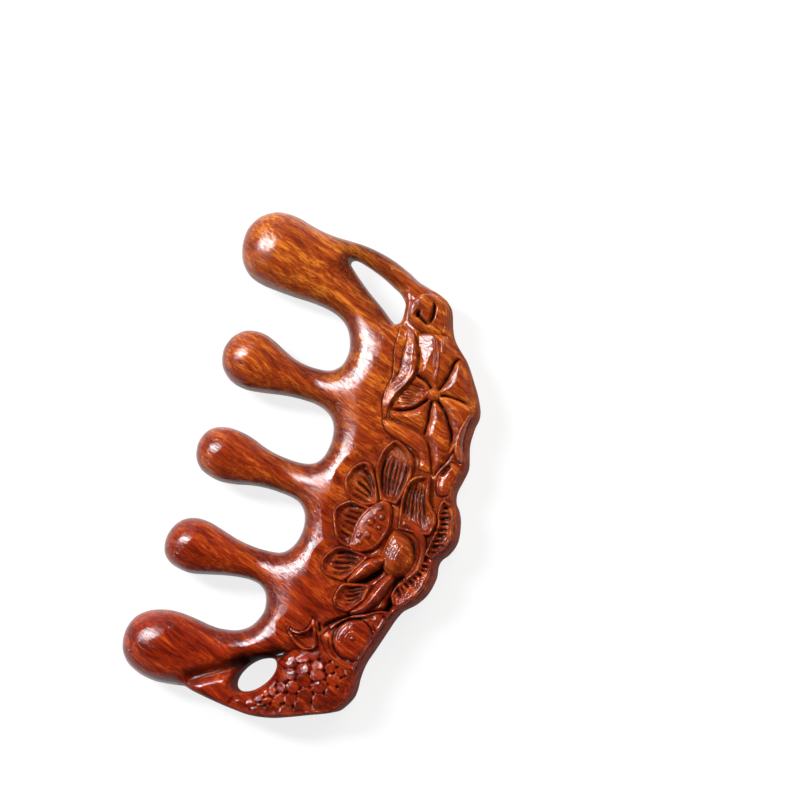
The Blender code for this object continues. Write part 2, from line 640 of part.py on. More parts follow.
# The order in which elements overlap: each is cut back from those before it.
RELIEF_ORDER = [
    "leaf_boss", "carp_eye", "lotus_bud", "bud_hood", "seed_pod", "petal_fold_7", "petal_fold_6",
    "leaf_scroll", "leaf_tip_curl", "leaf_fold_outer", "leaf_fold_lower", "leaf_fold_inner",
    "petal_1", "petal_4", "petal_2", "petal_3", "petal_6", "petal_7", "petal_8", "petal_5",
    "carp_head", "carp_fin", "carp_body", "leaf_blade",
]


def read_between(pairs, t):
    """The value at t in a list of (place, value) pairs."""
    for (a, low), (b, high) in zip(pairs, pairs[1:]):
        if t <= b:
            return low + (high - low) * (t - a) / (b - a)
    return pairs[-1][1]


def along_height(heights, t):
    last = len(heights) - 1
    return read_between([(k / last, h) for k, h in enumerate(heights)], t)


def tile_edges(tile):
    return [smooth_line(edge, tile["steps"] + 1) for edge in tile["edge_shares"]]


def tile_loop(tile):
    one, other = tile_edges(tile)
    return anticlockwise(one + other[::-1])


def tile_mesh(tile, base_z=RELIEF_Z, depth=CARVING_DEPTH, ground=GROUND_Z):
    """A carved strip with a flat underside."""
    one, other = tile_edges(tile)
    bm = bmesh.new()
    top, low = [], []
    for i, (a, b) in enumerate(zip(one, other)):
        rise = along_height(tile["along_shares"], i / tile["steps"]) * depth
        row = []
        for across, share in tile["across_shares"]:
            flat = a.lerp(b, across)
            row.append(bm.verts.new((flat.x, flat.y, ground + rise * share)))
        top.append(row)
        low.append([bm.verts.new((p.x, p.y, base_z)) for p in (a, b)])
    for i in range(len(top) - 1):
        for k in range(len(top[0]) - 1):
            bm.faces.new((top[i][k], top[i][k + 1], top[i + 1][k + 1], top[i + 1][k]))
        bm.faces.new((low[i][0], low[i + 1][0], low[i + 1][1], low[i][1]))
        bm.faces.new((top[i][0], top[i + 1][0], low[i + 1][0], low[i][0]))
        bm.faces.new((top[i][-1], low[i][1], low[i + 1][1], top[i + 1][-1]))
    bm.faces.new(top[0] + [low[0][1], low[0][0]])
    bm.faces.new(top[-1][::-1] + [low[-1][0], low[-1][1]])
    return bm


def mound_mesh(loop, middle, rings, height):
    """A carved dome or disc with a flat underside."""
    bm = bmesh.new()
    levels = [[bm.verts.new((p.x, p.y, RELIEF_Z)) for p in loop]]
    for inset, share in rings:
        z = GROUND_Z + CARVING_DEPTH * height * share
        levels.append([bm.verts.new((*p.lerp(middle, inset), z)) for p in loop])
    count = len(loop)
    for a, b in zip(levels, levels[1:]):
        for i in range(count):
            j = (i + 1) % count
            bm.faces.new((a[i], a[j], b[j], b[i]))
    peak = bm.verts.new((*middle, GROUND_Z + CARVING_DEPTH * height * rings[-1][1]))
    for i in range(count):
        bm.faces.new((levels[-1][i], levels[-1][(i + 1) % count], peak))
    bm.faces.new(levels[0][::-1])
    return bm


def round_mound(middle_share, size_shares, rise_share, count):
    """A round dome drawn on the sheet: its outline and its mesh."""
    turns = [2 * math.pi * k / count for k in range(count)]
    loop = [on_sheet((middle_share[0] + size_shares[0] / 2 * math.cos(a),
                      middle_share[1] + size_shares[1] / 2 * math.sin(a))) for a in turns]
    return loop, mound_mesh(loop, on_sheet(middle_share), PILLOW_SHARES, rise_share)


def relief_shape(name):
    """A relief element's outline on the sheet and its mesh."""
    if name == "leaf_boss":
        return round_mound(LEAF_BOSS_MIDDLE_SHARE, LEAF_BOSS_SIZE_SHARES, LEAF_BOSS_RISE_SHARE,
                           BOSS_SIDES)
    if name == "carp_eye":
        return round_mound(CARP_EYE_MIDDLE_SHARE, CARP_EYE_SIZE_SHARES, CARP_EYE_RISE_SHARE,
                           EYE_SIDES)
    if name in MOUNDS:
        mound = MOUNDS[name]
        loop = anticlockwise(smooth_loop(mound["loop_shares"], mound["count"]))
        middle = on_sheet(mound["middle_share"])
        return loop, mound_mesh(loop, middle, mound["ring_shares"], mound["height_share"])
    return tile_loop(TILES[name]), tile_mesh(TILES[name])


def prism_mesh(loop):
    """A straight block on an outline, taller than the carving."""
    bm = bmesh.new()
    skin_rings(bm, [at_height(loop, GROUND_Z - OVERRUN), at_height(loop, BLANK_THICKNESS + OVERRUN)])
    return bm


def boxes_meet(one, other, margin):
    for axis in (0, 1):
        low = max(min(p[axis] for p in one), min(p[axis] for p in other))
        high = min(max(p[axis] for p in one), max(p[axis] for p in other))
        if low > high + margin:
            return False
    return True


# The tail is as deep as the wood that joins the carp to the last tooth.
TAIL = {
    "edge_shares": [[(0.915, 0.385), (0.930, 0.357), (0.945, 0.320), (0.960, 0.285), (0.970, 0.262)],
                    [(0.988, 0.385), (0.986, 0.350), (0.983, 0.315), (0.980, 0.285), (0.977, 0.262)]],
    "across_shares": CUPPED_SHARES, "along_shares": (1.0, 0.9, 0.7, 0.5), "steps": 7,
}
TAIL_BOTTOM_Z = 3.5 * MM
TAIL_SHOULDER_Z = 8.0 * MM
TAIL_RISE = 3.2 * MM


def build():
    for old in list(bpy.data.objects):
        bpy.data.objects.remove(old, do_unlink=True)
    root = bpy.data.objects.new("comb", None)
    bpy.context.scene.collection.objects.link(root)
    wood = {
        "teeth": material("wood_teeth", (0.36, 0.11, 0.035), 0.28),
        "back": material("wood_back", (0.28, 0.075, 0.025), 0.30),
        "leaf": material("wood_leaf", (0.33, 0.10, 0.04), 0.30),
        "lotus": material("wood_lotus", (0.34, 0.11, 0.04), 0.32),
        "carp": material("wood_carp", (0.27, 0.06, 0.02), 0.28),
    }
    made = []

    for t in TEETH:
        made.append(add_object(t["name"], tooth_mesh(t), wood["teeth"]))

    back = add_object("comb_back", back_mesh(), wood["back"])
    cut(back, add_cutter("carp_hole", carp_hole_mesh()))
    made.append(back)

    stem = add_object("stem_loop", stem_mesh(), wood["leaf"])
    cut(stem, add_cutter("first_tooth_room", tooth_mesh(TEETH[0], CLEARANCE)))
    made.append(stem)

    tail = add_object("carp_tail", tile_mesh(TAIL, TAIL_BOTTOM_Z, TAIL_RISE, TAIL_SHOULDER_Z),
                      wood["carp"])
    cut(tail, add_cutter("last_tooth_room", tooth_mesh(TEETH[-1], CLEARANCE)))
    made.append(tail)

    placed = []
    for name in RELIEF_ORDER:
        loop, bm = relief_shape(name)
        group = name.split("_")[0]
        group = {"leaf": "leaf", "carp": "carp"}.get(group, "lotus")
        element = add_object(name, bm, wood[group])
        for other_loop, room in placed:
            if boxes_meet(loop, other_loop, CLEARANCE):
                cut(element, room)
        room = add_cutter(name + "_room", prism_mesh(grown_loop(loop, CLEARANCE)))
        placed.append((loop, room))
        made.append(element)

    for element in made:
        element.parent = root
    return made


build()
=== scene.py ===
# %% [markdown]
# # A carved scalp massage comb
# The real comb is one piece of red-brown hardwood. Its five thick teeth end in round knobs, a slim
# stem closes the corner beside the first tooth, and the broad back carries a folded lotus leaf, a
# lotus flower and a carp. It lies on its flat side. The measured solids give its size and its
# elements. This script dresses them: one smooth skin of wood, and every carved element over it.

# %% Frame and tools
import math

import bpy
import numpy as np
from mathutils import Matrix, Vector, kdtree
from mathutils.geometry import delaunay_2d_cdt


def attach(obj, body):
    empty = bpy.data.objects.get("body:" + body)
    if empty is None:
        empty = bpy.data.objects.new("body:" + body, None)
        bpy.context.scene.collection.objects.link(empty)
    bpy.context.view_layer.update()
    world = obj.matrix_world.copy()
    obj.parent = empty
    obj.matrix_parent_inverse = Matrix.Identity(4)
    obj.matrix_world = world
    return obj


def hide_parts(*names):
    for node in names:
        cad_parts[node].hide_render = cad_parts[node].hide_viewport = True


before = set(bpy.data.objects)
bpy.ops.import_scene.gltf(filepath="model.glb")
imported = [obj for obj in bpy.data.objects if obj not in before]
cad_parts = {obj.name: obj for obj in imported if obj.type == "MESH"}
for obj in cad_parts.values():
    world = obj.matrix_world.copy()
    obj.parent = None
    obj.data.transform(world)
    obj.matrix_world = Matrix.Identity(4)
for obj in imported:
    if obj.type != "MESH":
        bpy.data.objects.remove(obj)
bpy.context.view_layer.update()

# %% [markdown]
# ## The drawing sheet
# The solids were drawn on a sheet, and every outline point is a place on that sheet, in thousandths
# of its length and height. The same sheet serves here, so one list of points fits a comb of any
# size. All shaping is done in millimetres and becomes metres in the mesh.

# %% Sheet
MM = 0.001
SHEET = np.array([115.0, 69.0])
SHEET_MIDDLE = np.array([0.4907, 0.4835])
THOUSANDTHS = 1000
MIDDLE_Z = 7.25
GROUND_Z = 11.5


def on_sheet(places):
    """Millimetres from the comb's middle, for one place on the sheet or for a list of them."""
    return (np.array(places, float) / THOUSANDTHS - SHEET_MIDDLE) * SHEET


print("sheet", SHEET, "mm")

# %% [markdown]
# ## The camera
# The photograph looks down on the comb, with the camera leaned 9 degrees towards the carved back,
# so the wall along the back shows. The comb lies in the left half of the picture and is turned 17
# degrees. The camera is made first, because the outlines are read through it: a low edge and a high
# edge at one place of the picture aren't at one place of the wood.

# %% Camera
LENS = 100.0
SENSOR = 36.0
PICTURE_WIDTH = 0.1855
LEAN = math.radians(9)
TURN = math.radians(17)
LEAN_TOWARD = Vector((0.47, 0.88, 0)).normalized()
PICTURE_MIDDLE = (297.5, 671)
TARGET = Vector((*(on_sheet(PICTURE_MIDDLE) * MM), GROUND_Z * MM))
PICTURE_SIZE = 800
PICTURE_CORNER = np.array([119.5, 301.4])
PICTURE_SHEET = np.array([491.0, 295.2])

toward_camera = LEAN_TOWARD * math.sin(LEAN) + Vector((0, 0, 1)) * math.cos(LEAN)
eye = TARGET + toward_camera * PICTURE_WIDTH * LENS / SENSOR
right = Vector((-math.cos(TURN), -math.sin(TURN), 0)).cross(toward_camera).normalized()
up = toward_camera.cross(right)
camera = bpy.data.objects.new("camera", bpy.data.cameras.new("camera"))
camera.data.lens = LENS
camera.data.sensor_width = SENSOR
turn_camera = Matrix((right, up, toward_camera)).transposed().to_4x4()
camera.matrix_world = Matrix.Translation(eye) @ turn_camera
bpy.context.scene.collection.objects.link(camera)
bpy.context.scene.camera = camera
EYE = np.array(eye) / MM
RELIEF_Z = 12.6


def seen(places, height):
    """The points at this height that the camera sees where the picture shows these places."""
    along, across = (PICTURE_CORNER + np.array(places, float) / THOUSANDTHS * PICTURE_SHEET).T
    column = across * math.cos(TURN) - along * math.sin(TURN)
    row = along * math.cos(TURN) + across * math.sin(TURN)
    u = (column / PICTURE_SIZE - 0.5) * SENSOR / LENS
    v = (0.5 - row / PICTURE_SIZE) * SENSOR / LENS
    ray = np.outer(u, right) + np.outer(v, up) - np.array(toward_camera)
    return EYE[:2] + ray[:, :2] * ((height - EYE[2]) / ray[:, 2])[:, None]


def carved(places):
    """Millimetres in the carving, for a list of places or for one place."""
    points = seen(np.atleast_2d(places), RELIEF_Z)
    return points if np.ndim(places) > 1 else points[0]


print("camera", round(EYE[2]), "mm above the floor")

# %% [markdown]
# ## Lines
# Outlines and knife cuts are smooth curves through a few points. Each curve is spread into evenly
# spaced points, so the mesh that follows it has even edges.

# %% Lines
SPAN_STEPS = 12
NO_LENGTH = 1e-12


def curve(points, spacing, closed=False):
    """A smooth curve through points, as evenly spread points."""
    p = np.asarray(points, float)
    if closed:
        ring = np.vstack([p[-1], p, p[:2]])
    else:
        ring = np.vstack([2 * p[0] - p[1], p, 2 * p[-1] - p[-2]])
    t = (np.arange(SPAN_STEPS) / SPAN_STEPS)[:, None]
    fine = []
    for a, b, c, d in zip(ring, ring[1:], ring[2:], ring[3:]):
        fine.append(0.5 * (2 * b + (c - a) * t + (2 * a - 5 * b + 4 * c - d) * t ** 2
                           + (3 * b - a - 3 * c + d) * t ** 3))
    fine = np.vstack(fine + [ring[-2:-1]])
    run = np.concatenate([[0], np.cumsum(np.linalg.norm(np.diff(fine, axis=0), axis=1))])
    count = max(int(round(run[-1] / spacing)), 2) + 1
    at = np.linspace(0, run[-1], count)
    even = np.stack([np.interp(at, run, fine[:, k]) for k in (0, 1)], 1)
    return even[:-1] if closed else even


def loop_of(*lines, spacing):
    """One closed loop from open smooth lines that meet at corners, anticlockwise."""
    loop = []
    for line in lines:
        even = curve(line, spacing)
        if loop and np.linalg.norm(loop[-1][-1] - even[0]) < spacing / 2:
            even = even[1:]
        loop.append(even)
    loop = np.vstack(loop)
    if np.linalg.norm(loop[-1] - loop[0]) < spacing / 2:
        loop = loop[:-1]
    return anticlockwise(loop)


def anticlockwise(loop):
    """The same loop, turned round if it runs clockwise."""
    after = np.roll(loop, -1, 0)
    area = (loop[:, 0] * after[:, 1] - loop[:, 1] * after[:, 0]).sum()
    return loop if area > 0 else loop[::-1]


def smoothstep(low, high, x):
    """0 up to low, 1 from high, and a smooth ramp between; low may be the larger number."""
    t = np.clip((x - low) / (high - low), 0, 1)
    return t * t * (3 - 2 * t)


def line_place(points, line):
    """How far each point is from an open line, and the share of the line's run nearest to it."""
    best = np.full(len(points), np.inf)
    place = np.zeros(len(points))
    for k, (a, b) in enumerate(zip(line, line[1:])):
        run = b - a
        t = np.clip(((points - a) @ run) / max(run @ run, NO_LENGTH), 0, 1)
        gap = np.linalg.norm(points - a - t[:, None] * run, axis=1)
        nearer = gap < best
        best[nearer] = gap[nearer]
        place[nearer] = (k + t[nearer]) / (len(line) - 1)
    return best, place


def line_gap(points, line):
    """How far each point is from an open line."""
    return line_place(points, line)[0]


print("a curve takes", SPAN_STEPS, "steps from one point to the next")

# %% [markdown]
# ## Sheets of wood
# Every surface is made the same way. Its border is a loop. Points are set in rings close inside the
# border, where the wood rounds over, and in a honeycomb further in. They are joined into triangles,
# lifted to the height that the carving has there, and closed with a wall and an underside. Every
# point has to know how deep inside the border it lies, so the border comes first.

# %% Border of a sheet
SAME_POINT = 1e-6


class Border:
    """The edge of a sheet of wood, with the direction into the wood at each point."""

    def __init__(self, loops):
        self.loops = loops
        self.at = np.vstack(loops)
        ahead = np.vstack([np.roll(p, -1, 0) - np.roll(p, 1, 0) for p in loops])
        self.ahead = ahead / np.maximum(np.linalg.norm(ahead, axis=1), SAME_POINT)[:, None]
        self.inward = np.stack([-self.ahead[:, 1], self.ahead[:, 0]], 1)
        self.step = np.linalg.norm(loops[0][1] - loops[0][0])
        self.tree = kdtree.KDTree(len(self.at))
        for i, (x, y) in enumerate(self.at):
            self.tree.insert((x, y, 0), i)
        self.tree.balance()

    def nearest(self, points):
        """The nearest border point, and the depth inside the border; outside is below zero."""
        index = np.array([self.tree.find((x, y, 0))[1] for x, y in points])
        gap = points - self.at[index]
        along = np.einsum("ij,ij->i", gap, self.ahead[index])
        away = np.linalg.norm(gap, axis=1)
        beside = np.sqrt(np.maximum(away ** 2 - along ** 2, 0))
        depth = np.where(np.abs(along) < self.step, beside, away)
        side = np.sign(np.einsum("ij,ij->i", gap, self.inward[index]))
        return index, np.where(side == 0, 1, side) * depth


print("points closer than", SAME_POINT, "mm are one")

# %% [markdown]
# The triangulation fills holes and bays too. The wood is the part that can be reached from the left
# side of the border without crossing it.

# %% Triangles of a sheet
RINGS = (0.02, 0.1, 0.25, 0.45, 0.7, 1.0)
RING_TRUST = 0.93
RING_STRIDE = 1.5
FIELD_START = 0.6


def honeycomb(low, high, spacing):
    """Points in rows, each row moved half a step against the last."""
    rows = np.arange(low[1], high[1], spacing * math.sqrt(0.75))
    row = np.arange(low[0], high[0], spacing)
    return np.vstack([np.stack([row + spacing / 2 * (k % 2), np.full(len(row), y)], 1)
                      for k, y in enumerate(rows)])


def wood_side(tris, border_edges):
    """The triangles on the left of the border, found by spreading inward from it."""
    owner = {}
    for k, (a, b, c) in enumerate(tris):
        owner[a, b] = owner[b, c] = owner[c, a] = k
    todo = [owner[edge] for edge in border_edges if edge in owner]
    found = set(todo)
    while todo:
        a, b, c = tris[todo.pop()]
        for edge in ((a, b), (b, c), (c, a)):
            k = owner.get(edge[::-1])
            if edge not in border_edges and k is not None and k not in found:
                found.add(k)
                todo.append(k)
    return np.array([tris[k] for k in sorted(found)])


def layout(border, spacing, rings=RINGS):
    """Points inside a border, their triangles, and how deep inside the border each lies."""
    points = [border.at]
    for inset in rings:
        ring = border.at + border.inward * inset
        _, depth = border.nearest(ring)
        ring = ring[depth >= inset * RING_TRUST]
        stride = max(int(inset / border.step / RING_STRIDE), 1)
        points.append(ring[::stride])
    field = honeycomb(border.at.min(0), border.at.max(0), spacing)
    _, depth = border.nearest(field)
    points.append(field[depth > rings[-1] + spacing * FIELD_START])
    points = np.vstack(points)
    edges, start = [], 0
    for p in border.loops:
        n = len(p)
        edges += [(start + i, start + (i + 1) % n) for i in range(n)]
        start += n
    made = delaunay_2d_cdt([Vector(p) for p in points], edges, [], 0, SAME_POINT)
    at = np.array([tuple(v) for v in made[0]])
    rim = np.zeros(len(border.at), int)
    for k, came_from in enumerate(made[3]):
        for i in came_from:
            if i < len(border.at):
                rim[i] = k
    tris = wood_side(made[2], {(int(rim[i]), int(rim[j])) for i, j in edges})
    index, depth = border.nearest(at)
    depth[rim] = 0
    return at, tris, depth, index, rim


def rim_pairs(border):
    """Neighbours round each loop of a border."""
    pairs, start = [], 0
    for p in border.loops:
        i = np.arange(len(p))
        pairs.append(np.stack([start + i, start + (i + 1) % len(p)], 1))
        start += len(p)
    return np.vstack(pairs)


print("rings", RINGS, "mm inside the border")

# %% [markdown]
# A finished sheet becomes a mesh. The darkening that the knife work leaves, partly dark polish and
# partly painted shade, is kept at its points, where the material can read it.

# %% Mesh of wood
def wood_object(name, verts, faces, stain_and_shade):
    """A mesh of wood, without the points that no face uses, and with its stain and painted shade."""
    used = np.unique([v for face in faces for v in face])
    new_place = np.zeros(len(verts), int)
    new_place[used] = np.arange(len(used))
    new_faces = [new_place[list(face)].tolist() for face in faces]
    mesh = bpy.data.meshes.new(name)
    mesh.from_pydata([tuple(v) for v in verts[used] * MM], [], new_faces)
    layer = mesh.attributes.new("stain_and_shade", "FLOAT", "POINT")
    layer.data.foreach_set("value", np.clip(stain_and_shade[used], 0, 1).astype(np.float32))
    mesh.update()
    mesh.shade_smooth()
    made = bpy.data.objects.new(name, mesh)
    bpy.context.scene.collection.objects.link(made)
    return made


print("a mesh of wood is made in metres, one millimetre being", MM)

# %% [markdown]
# ## The comb's outline
# The teeth, the gaps and the stem are round, so their outline is widest half way up. Along the
# carved back the wall stands straight, and the camera sees its low edge. So each stretch of the
# outline is read at its own height. Here are the places, clockwise in the picture from the first
# tooth.

# %% Outline
LOW_EDGE_Z = 1.8
HIGH_EDGE_Z = 10.0
TEETH_SIDE = [
    (4, 170), (2, 120), (8, 80), (25, 40), (50, 15), (75, 8), (100, 13), (125, 30), (146, 65),
    (155, 110), (158, 160), (160, 220), (161, 300), (166, 360), (175, 400), (190, 430), (210, 449),
    (235, 459), (260, 453), (275, 435), (283, 410), (286, 370), (285, 330), (280, 290), (270, 250),
    (258, 210), (250, 170), (250, 130), (258, 95), (278, 65), (305, 52), (335, 62), (354, 88),
    (365, 120), (369, 160), (367, 200), (362, 250), (357, 300), (355, 350), (356, 400), (362, 437),
    (374, 467), (393, 485), (420, 491), (449, 484), (466, 468), (475, 444), (479, 410), (479, 370),
    (476, 320), (470, 280), (461, 240), (455, 200), (453, 150), (460, 105), (477, 75), (503, 62),
    (531, 70), (550, 95), (559, 130), (563, 170), (560, 220), (553, 270), (549, 320), (549, 370),
    (552, 420), (560, 453), (578, 477), (605, 486), (634, 479), (654, 461), (666, 434), (670, 390),
    (670, 340), (665, 280), (655, 220), (648, 170), (649, 125), (660, 87), (681, 62), (708, 52),
    (735, 62), (751, 90), (758, 130), (759, 170), (752, 220), (743, 280), (738, 330), (737, 370),
    (742, 404), (757, 430), (785, 441), (809, 430), (829, 408), (843, 370), (849, 320), (849, 280),
    (845, 230), (842, 170), (845, 120), (856, 70), (877, 30), (910, 12), (945, 20), (970, 50),
    (985, 100), (990, 150), (989, 190), (985, 235),
]
TAIL_SIDE = [(984, 256), (987, 285), (991, 330), (995, 380)]
BACK_SIDE = [
    (998, 430), (1000, 500), (993, 570), (980, 630), (965, 690), (950, 750), (935, 790), (910, 815),
    (890, 822), (860, 820), (830, 825), (800, 840), (750, 865), (730, 875), (710, 890), (700, 905),
    (685, 930), (660, 955), (625, 967), (600, 962), (585, 967), (570, 985), (550, 998), (530, 1000),
    (500, 990), (480, 975), (465, 957), (445, 950), (420, 957), (400, 963), (385, 962), (360, 950),
    (340, 943), (310, 943), (290, 948), (275, 945), (260, 935), (240, 917), (220, 895), (200, 872),
    (180, 845), (165, 817), (150, 793), (130, 775), (104, 760), (88, 745), (75, 720), (66, 683),
]
STEM_SIDE = [
    (62, 648), (56, 614), (44, 574), (30, 514), (21.5, 453), (18, 400), (18, 350), (18, 300),
    (15, 250), (10, 210),
]
TEARDROP_SIDE = [
    (153, 583), (148, 565), (130, 525), (110, 475), (90, 430), (70, 390), (62, 378), (55, 382),
    (53, 402), (60, 447), (70.5, 497), (83, 541), (92, 570),
]
TEARDROP_TOP = [(103, 586), (120, 592), (139, 591)]
CARP_HOLE_MIDDLE = (917.5, 482)
CARP_HOLE_SIZE = (10.7, 5.45)
CARP_HOLE_SLANT = math.radians(-36)
HOLE_POINTS = 28
print(len(TEETH_SIDE) + len(TAIL_SIDE) + len(BACK_SIDE) + len(STEM_SIDE), "places round the comb")

# %% [markdown]
# The places become smooth closed loops. Each point of a loop also knows how round its edge is, from
# 0 on the straight wall to 1 on the teeth, and the two fade into each other over a few millimetres.

# %% Border
BORDER_STEP = 0.25
SOFT_BLEND = 2.5
EDGE_SOFT_RANGE = (0.3, 0.7)
WALL_SHARE_RANGE = (0.2, 0.95)
FACING_RANGE = (-0.2, 0.3)
TAIL_SOFT = 0.2


def wall_height(places):
    """The edge of a straight wall that the camera sees: the low one where the wall faces it."""
    flat = on_sheet(places)
    ahead = np.gradient(flat, axis=0)
    outward = np.stack([ahead[:, 1], -ahead[:, 0]], 1)
    sight = EYE[:2] - flat
    facing = (outward * sight).sum(1)
    facing = facing / np.linalg.norm(outward, axis=1) / np.linalg.norm(sight, axis=1)
    return HIGH_EDGE_Z + (LOW_EDGE_Z - HIGH_EDGE_Z) * smoothstep(*FACING_RANGE, facing)


def read_at(*stretches):
    """Points of the outline, each stretch seen at its own height, and how round its edge is."""
    points = np.vstack([seen(places, height) for places, height, _ in stretches])
    roundness = np.concatenate([np.full(len(places), float(soft)) for places, _, soft in stretches])
    return points, roundness


def slanted_ellipse(middle, size, slant, count):
    """Places round an ellipse given in millimetres, clockwise as a hole is."""
    a = -2 * np.pi * np.arange(count) / count
    x, y = size[0] / 2 * np.cos(a), size[1] / 2 * np.sin(a)
    c, s = math.cos(slant), math.sin(slant)
    return np.array(middle) + np.stack([x * c - y * s, x * s + y * c], 1) / SHEET * THOUSANDTHS


outer_points, outer_soft = read_at(
    (TEETH_SIDE, MIDDLE_Z, 1), (TAIL_SIDE, wall_height(TAIL_SIDE), TAIL_SOFT),
    (BACK_SIDE, wall_height(BACK_SIDE), 0), (STEM_SIDE, MIDDLE_Z, 1))
tear_points, tear_soft = read_at((TEARDROP_SIDE, MIDDLE_Z, 1), (TEARDROP_TOP, GROUND_Z, 0))
outer_loop = curve(outer_points, BORDER_STEP, closed=True)
tear_loop = anticlockwise(curve(tear_points, BORDER_STEP, closed=True))[::-1]
hole_side = slanted_ellipse(CARP_HOLE_MIDDLE, CARP_HOLE_SIZE, CARP_HOLE_SLANT, HOLE_POINTS)
hole_loop = curve(seen(hole_side, wall_height(hole_side)), BORDER_STEP, closed=True)
comb_border = Border([outer_loop, tear_loop, hole_loop])


def softness_along(loop, points, soft):
    """How round the edge is at each point of a loop, faded along it."""
    gap = np.linalg.norm(loop[:, None] - points[None], axis=2)
    weight = 1 / (gap ** 2 + SOFT_BLEND)
    return (weight * soft).sum(1) / weight.sum(1)


edge_soft = np.concatenate([softness_along(outer_loop, outer_points, outer_soft),
                            softness_along(tear_loop, tear_points, tear_soft),
                            np.zeros(len(hole_loop))])
wall_share = 1 - smoothstep(*WALL_SHARE_RANGE, edge_soft)
edge_soft = smoothstep(*EDGE_SOFT_RANGE, edge_soft)
print("comb border", len(comb_border.at), "points,", comb_border.at.min(0), comb_border.at.max(0))

# %% [markdown]
# ## The swell of the wood
# The comb was shaped with a rasp and sanded until every gap ran smoothly into its teeth. That form
# is like a sheet blown up from inside and held down along its edge: high where the wood is wide,
# low where it is narrow, with no crease. So the swell is worked out that way, on a fine grid.

# %% Swell
SWELL_REACH = 4.0
GRID_STEPS = (1.0, 0.5, 0.25)
GRID_ROUNDS = (300, 300, 260)
GRID_MARGIN = 6.0
GRID_END = 1.001
HALF_SOFT = 0.5
grid_low = comb_border.at.min(0) - GRID_MARGIN
grid_high = comb_border.at.max(0) + GRID_MARGIN


def grid_points(step):
    """Rows, columns and places of a grid over the comb."""
    x = np.arange(grid_low[0], grid_high[0], step)
    y = np.arange(grid_low[1], grid_high[1], step)
    return len(y), len(x), np.stack(np.meshgrid(x, y), -1).reshape(-1, 2)


def sample(values, step, points):
    """Reads a grid between its points."""
    place = (points - grid_low) / step
    x = np.clip(place[:, 0], 0, values.shape[1] - GRID_END)
    y = np.clip(place[:, 1], 0, values.shape[0] - GRID_END)
    i, j = x.astype(int), y.astype(int)
    u, v = x - i, y - j
    return (values[j, i] * (1 - u) * (1 - v) + values[j, i + 1] * u * (1 - v)
            + values[j + 1, i] * (1 - u) * v + values[j + 1, i + 1] * u * v)


def swell_grid():
    """The blown-up sheet, found on a coarse grid first and then on finer ones."""
    values = None
    for step, rounds in zip(GRID_STEPS, GRID_ROUNDS):
        rows, columns, points = grid_points(step)
        index, depth = comb_border.nearest(points)
        free = ((depth > 0) | (edge_soft[index] < HALF_SOFT)).reshape(rows, columns).astype(float)
        if values is None:
            now = free.copy()
        else:
            now = sample(values, before, points).reshape(rows, columns) * free
        pull = (step / SWELL_REACH) ** 2
        for _ in range(rounds):
            around = now[:-2, 1:-1] + now[2:, 1:-1] + now[1:-1, :-2] + now[1:-1, 2:]
            now[1:-1, 1:-1] = free[1:-1, 1:-1] * (around + pull) / (4 + pull)
        values, before = now, step
    return values


swell = swell_grid()
print("swell grid", swell.shape)

# %% [markdown]
# The grid is too coarse close to the edge. There the swell is taken a little way in, evened out
# along the edge, and led down to the edge in a straight line.

# %% Swell beside the edge
RIM_INSET = 0.8
RIM_BLEND = 6
RIM_REACH = (0.4, 1.1)
rim_swell = sample(swell, GRID_STEPS[-1], comb_border.at + comb_border.inward * RIM_INSET)
start = 0
for loop in comb_border.loops:
    part = rim_swell[start:start + len(loop)]
    part = sum(np.roll(part, k) for k in range(-RIM_BLEND, RIM_BLEND + 1)) / (2 * RIM_BLEND + 1)
    rim_swell[start:start + len(loop)] = part
    start += len(loop)


def swell_at(points, index, depth):
    """The swell from 0 at a soft edge to 1 deep inside the wood."""
    inside = sample(swell, GRID_STEPS[-1], points)
    by_rim = rim_swell[index] * np.clip(depth, 0, None) / RIM_INSET
    share = smoothstep(*RIM_REACH, depth)
    soft = by_rim * (1 - share) + inside * share
    return np.sqrt(np.clip(soft * edge_soft[index] + inside * (1 - edge_soft[index]), 0, 1))


print("swell beside the edge", rim_swell.min().round(3), "to", rim_swell.max().round(3))

# %% [markdown]
# ## Heights of the plain wood
# The knobs are nearly balls, the necks are thinner, and the back is a board. The underside of the
# back is flat. The height above and below the middle follows the swell, with its own strength along
# the comb.

# %% Heights
SWELL_PLACES = (0.0, 0.15, 0.33, 0.45, 0.57, 0.68, 1.0)
SWELL_OVER = (8.4, 8.4, 6.1, 6.1, 6.2, 5.8, 5.2)
SWELL_UNDER = (8.6, 8.6, 6.8, 7.1, 7.6, 7.8, 7.8)
STRENGTH_STEP = 0.01
STRENGTH_SCALE = 10
STEM_BOOST = 0.22
STEM_SIDEWAYS = (0.085, 0.06)
STEM_LOW_END = (0.26, 0.34)
STEM_HIGH_END = (0.64, 0.56)
WALL_ROUND = 1.6
WALL_ROUND_DROP = 2.4
HOLE_FUNNEL = 1.5
HOLE_FUNNEL_DROP = 3.0


def share_of(points):
    """Shares of the sheet's length and height, from 0 to 1."""
    return points / SHEET + SHEET_MIDDLE


def strength_at(sy, strengths):
    """The strength of the swell across the comb, as a smooth line through its values."""
    line = curve(np.stack([SWELL_PLACES, np.array(strengths) / STRENGTH_SCALE], 1), STRENGTH_STEP)
    return np.interp(sy, line[:, 0], line[:, 1] * STRENGTH_SCALE)


def quarter(depth, radius):
    """0 at an edge, 1 a radius inside it, along a quarter circle."""
    return np.sqrt(1 - (1 - np.clip(depth / radius, 0, 1)) ** 2)


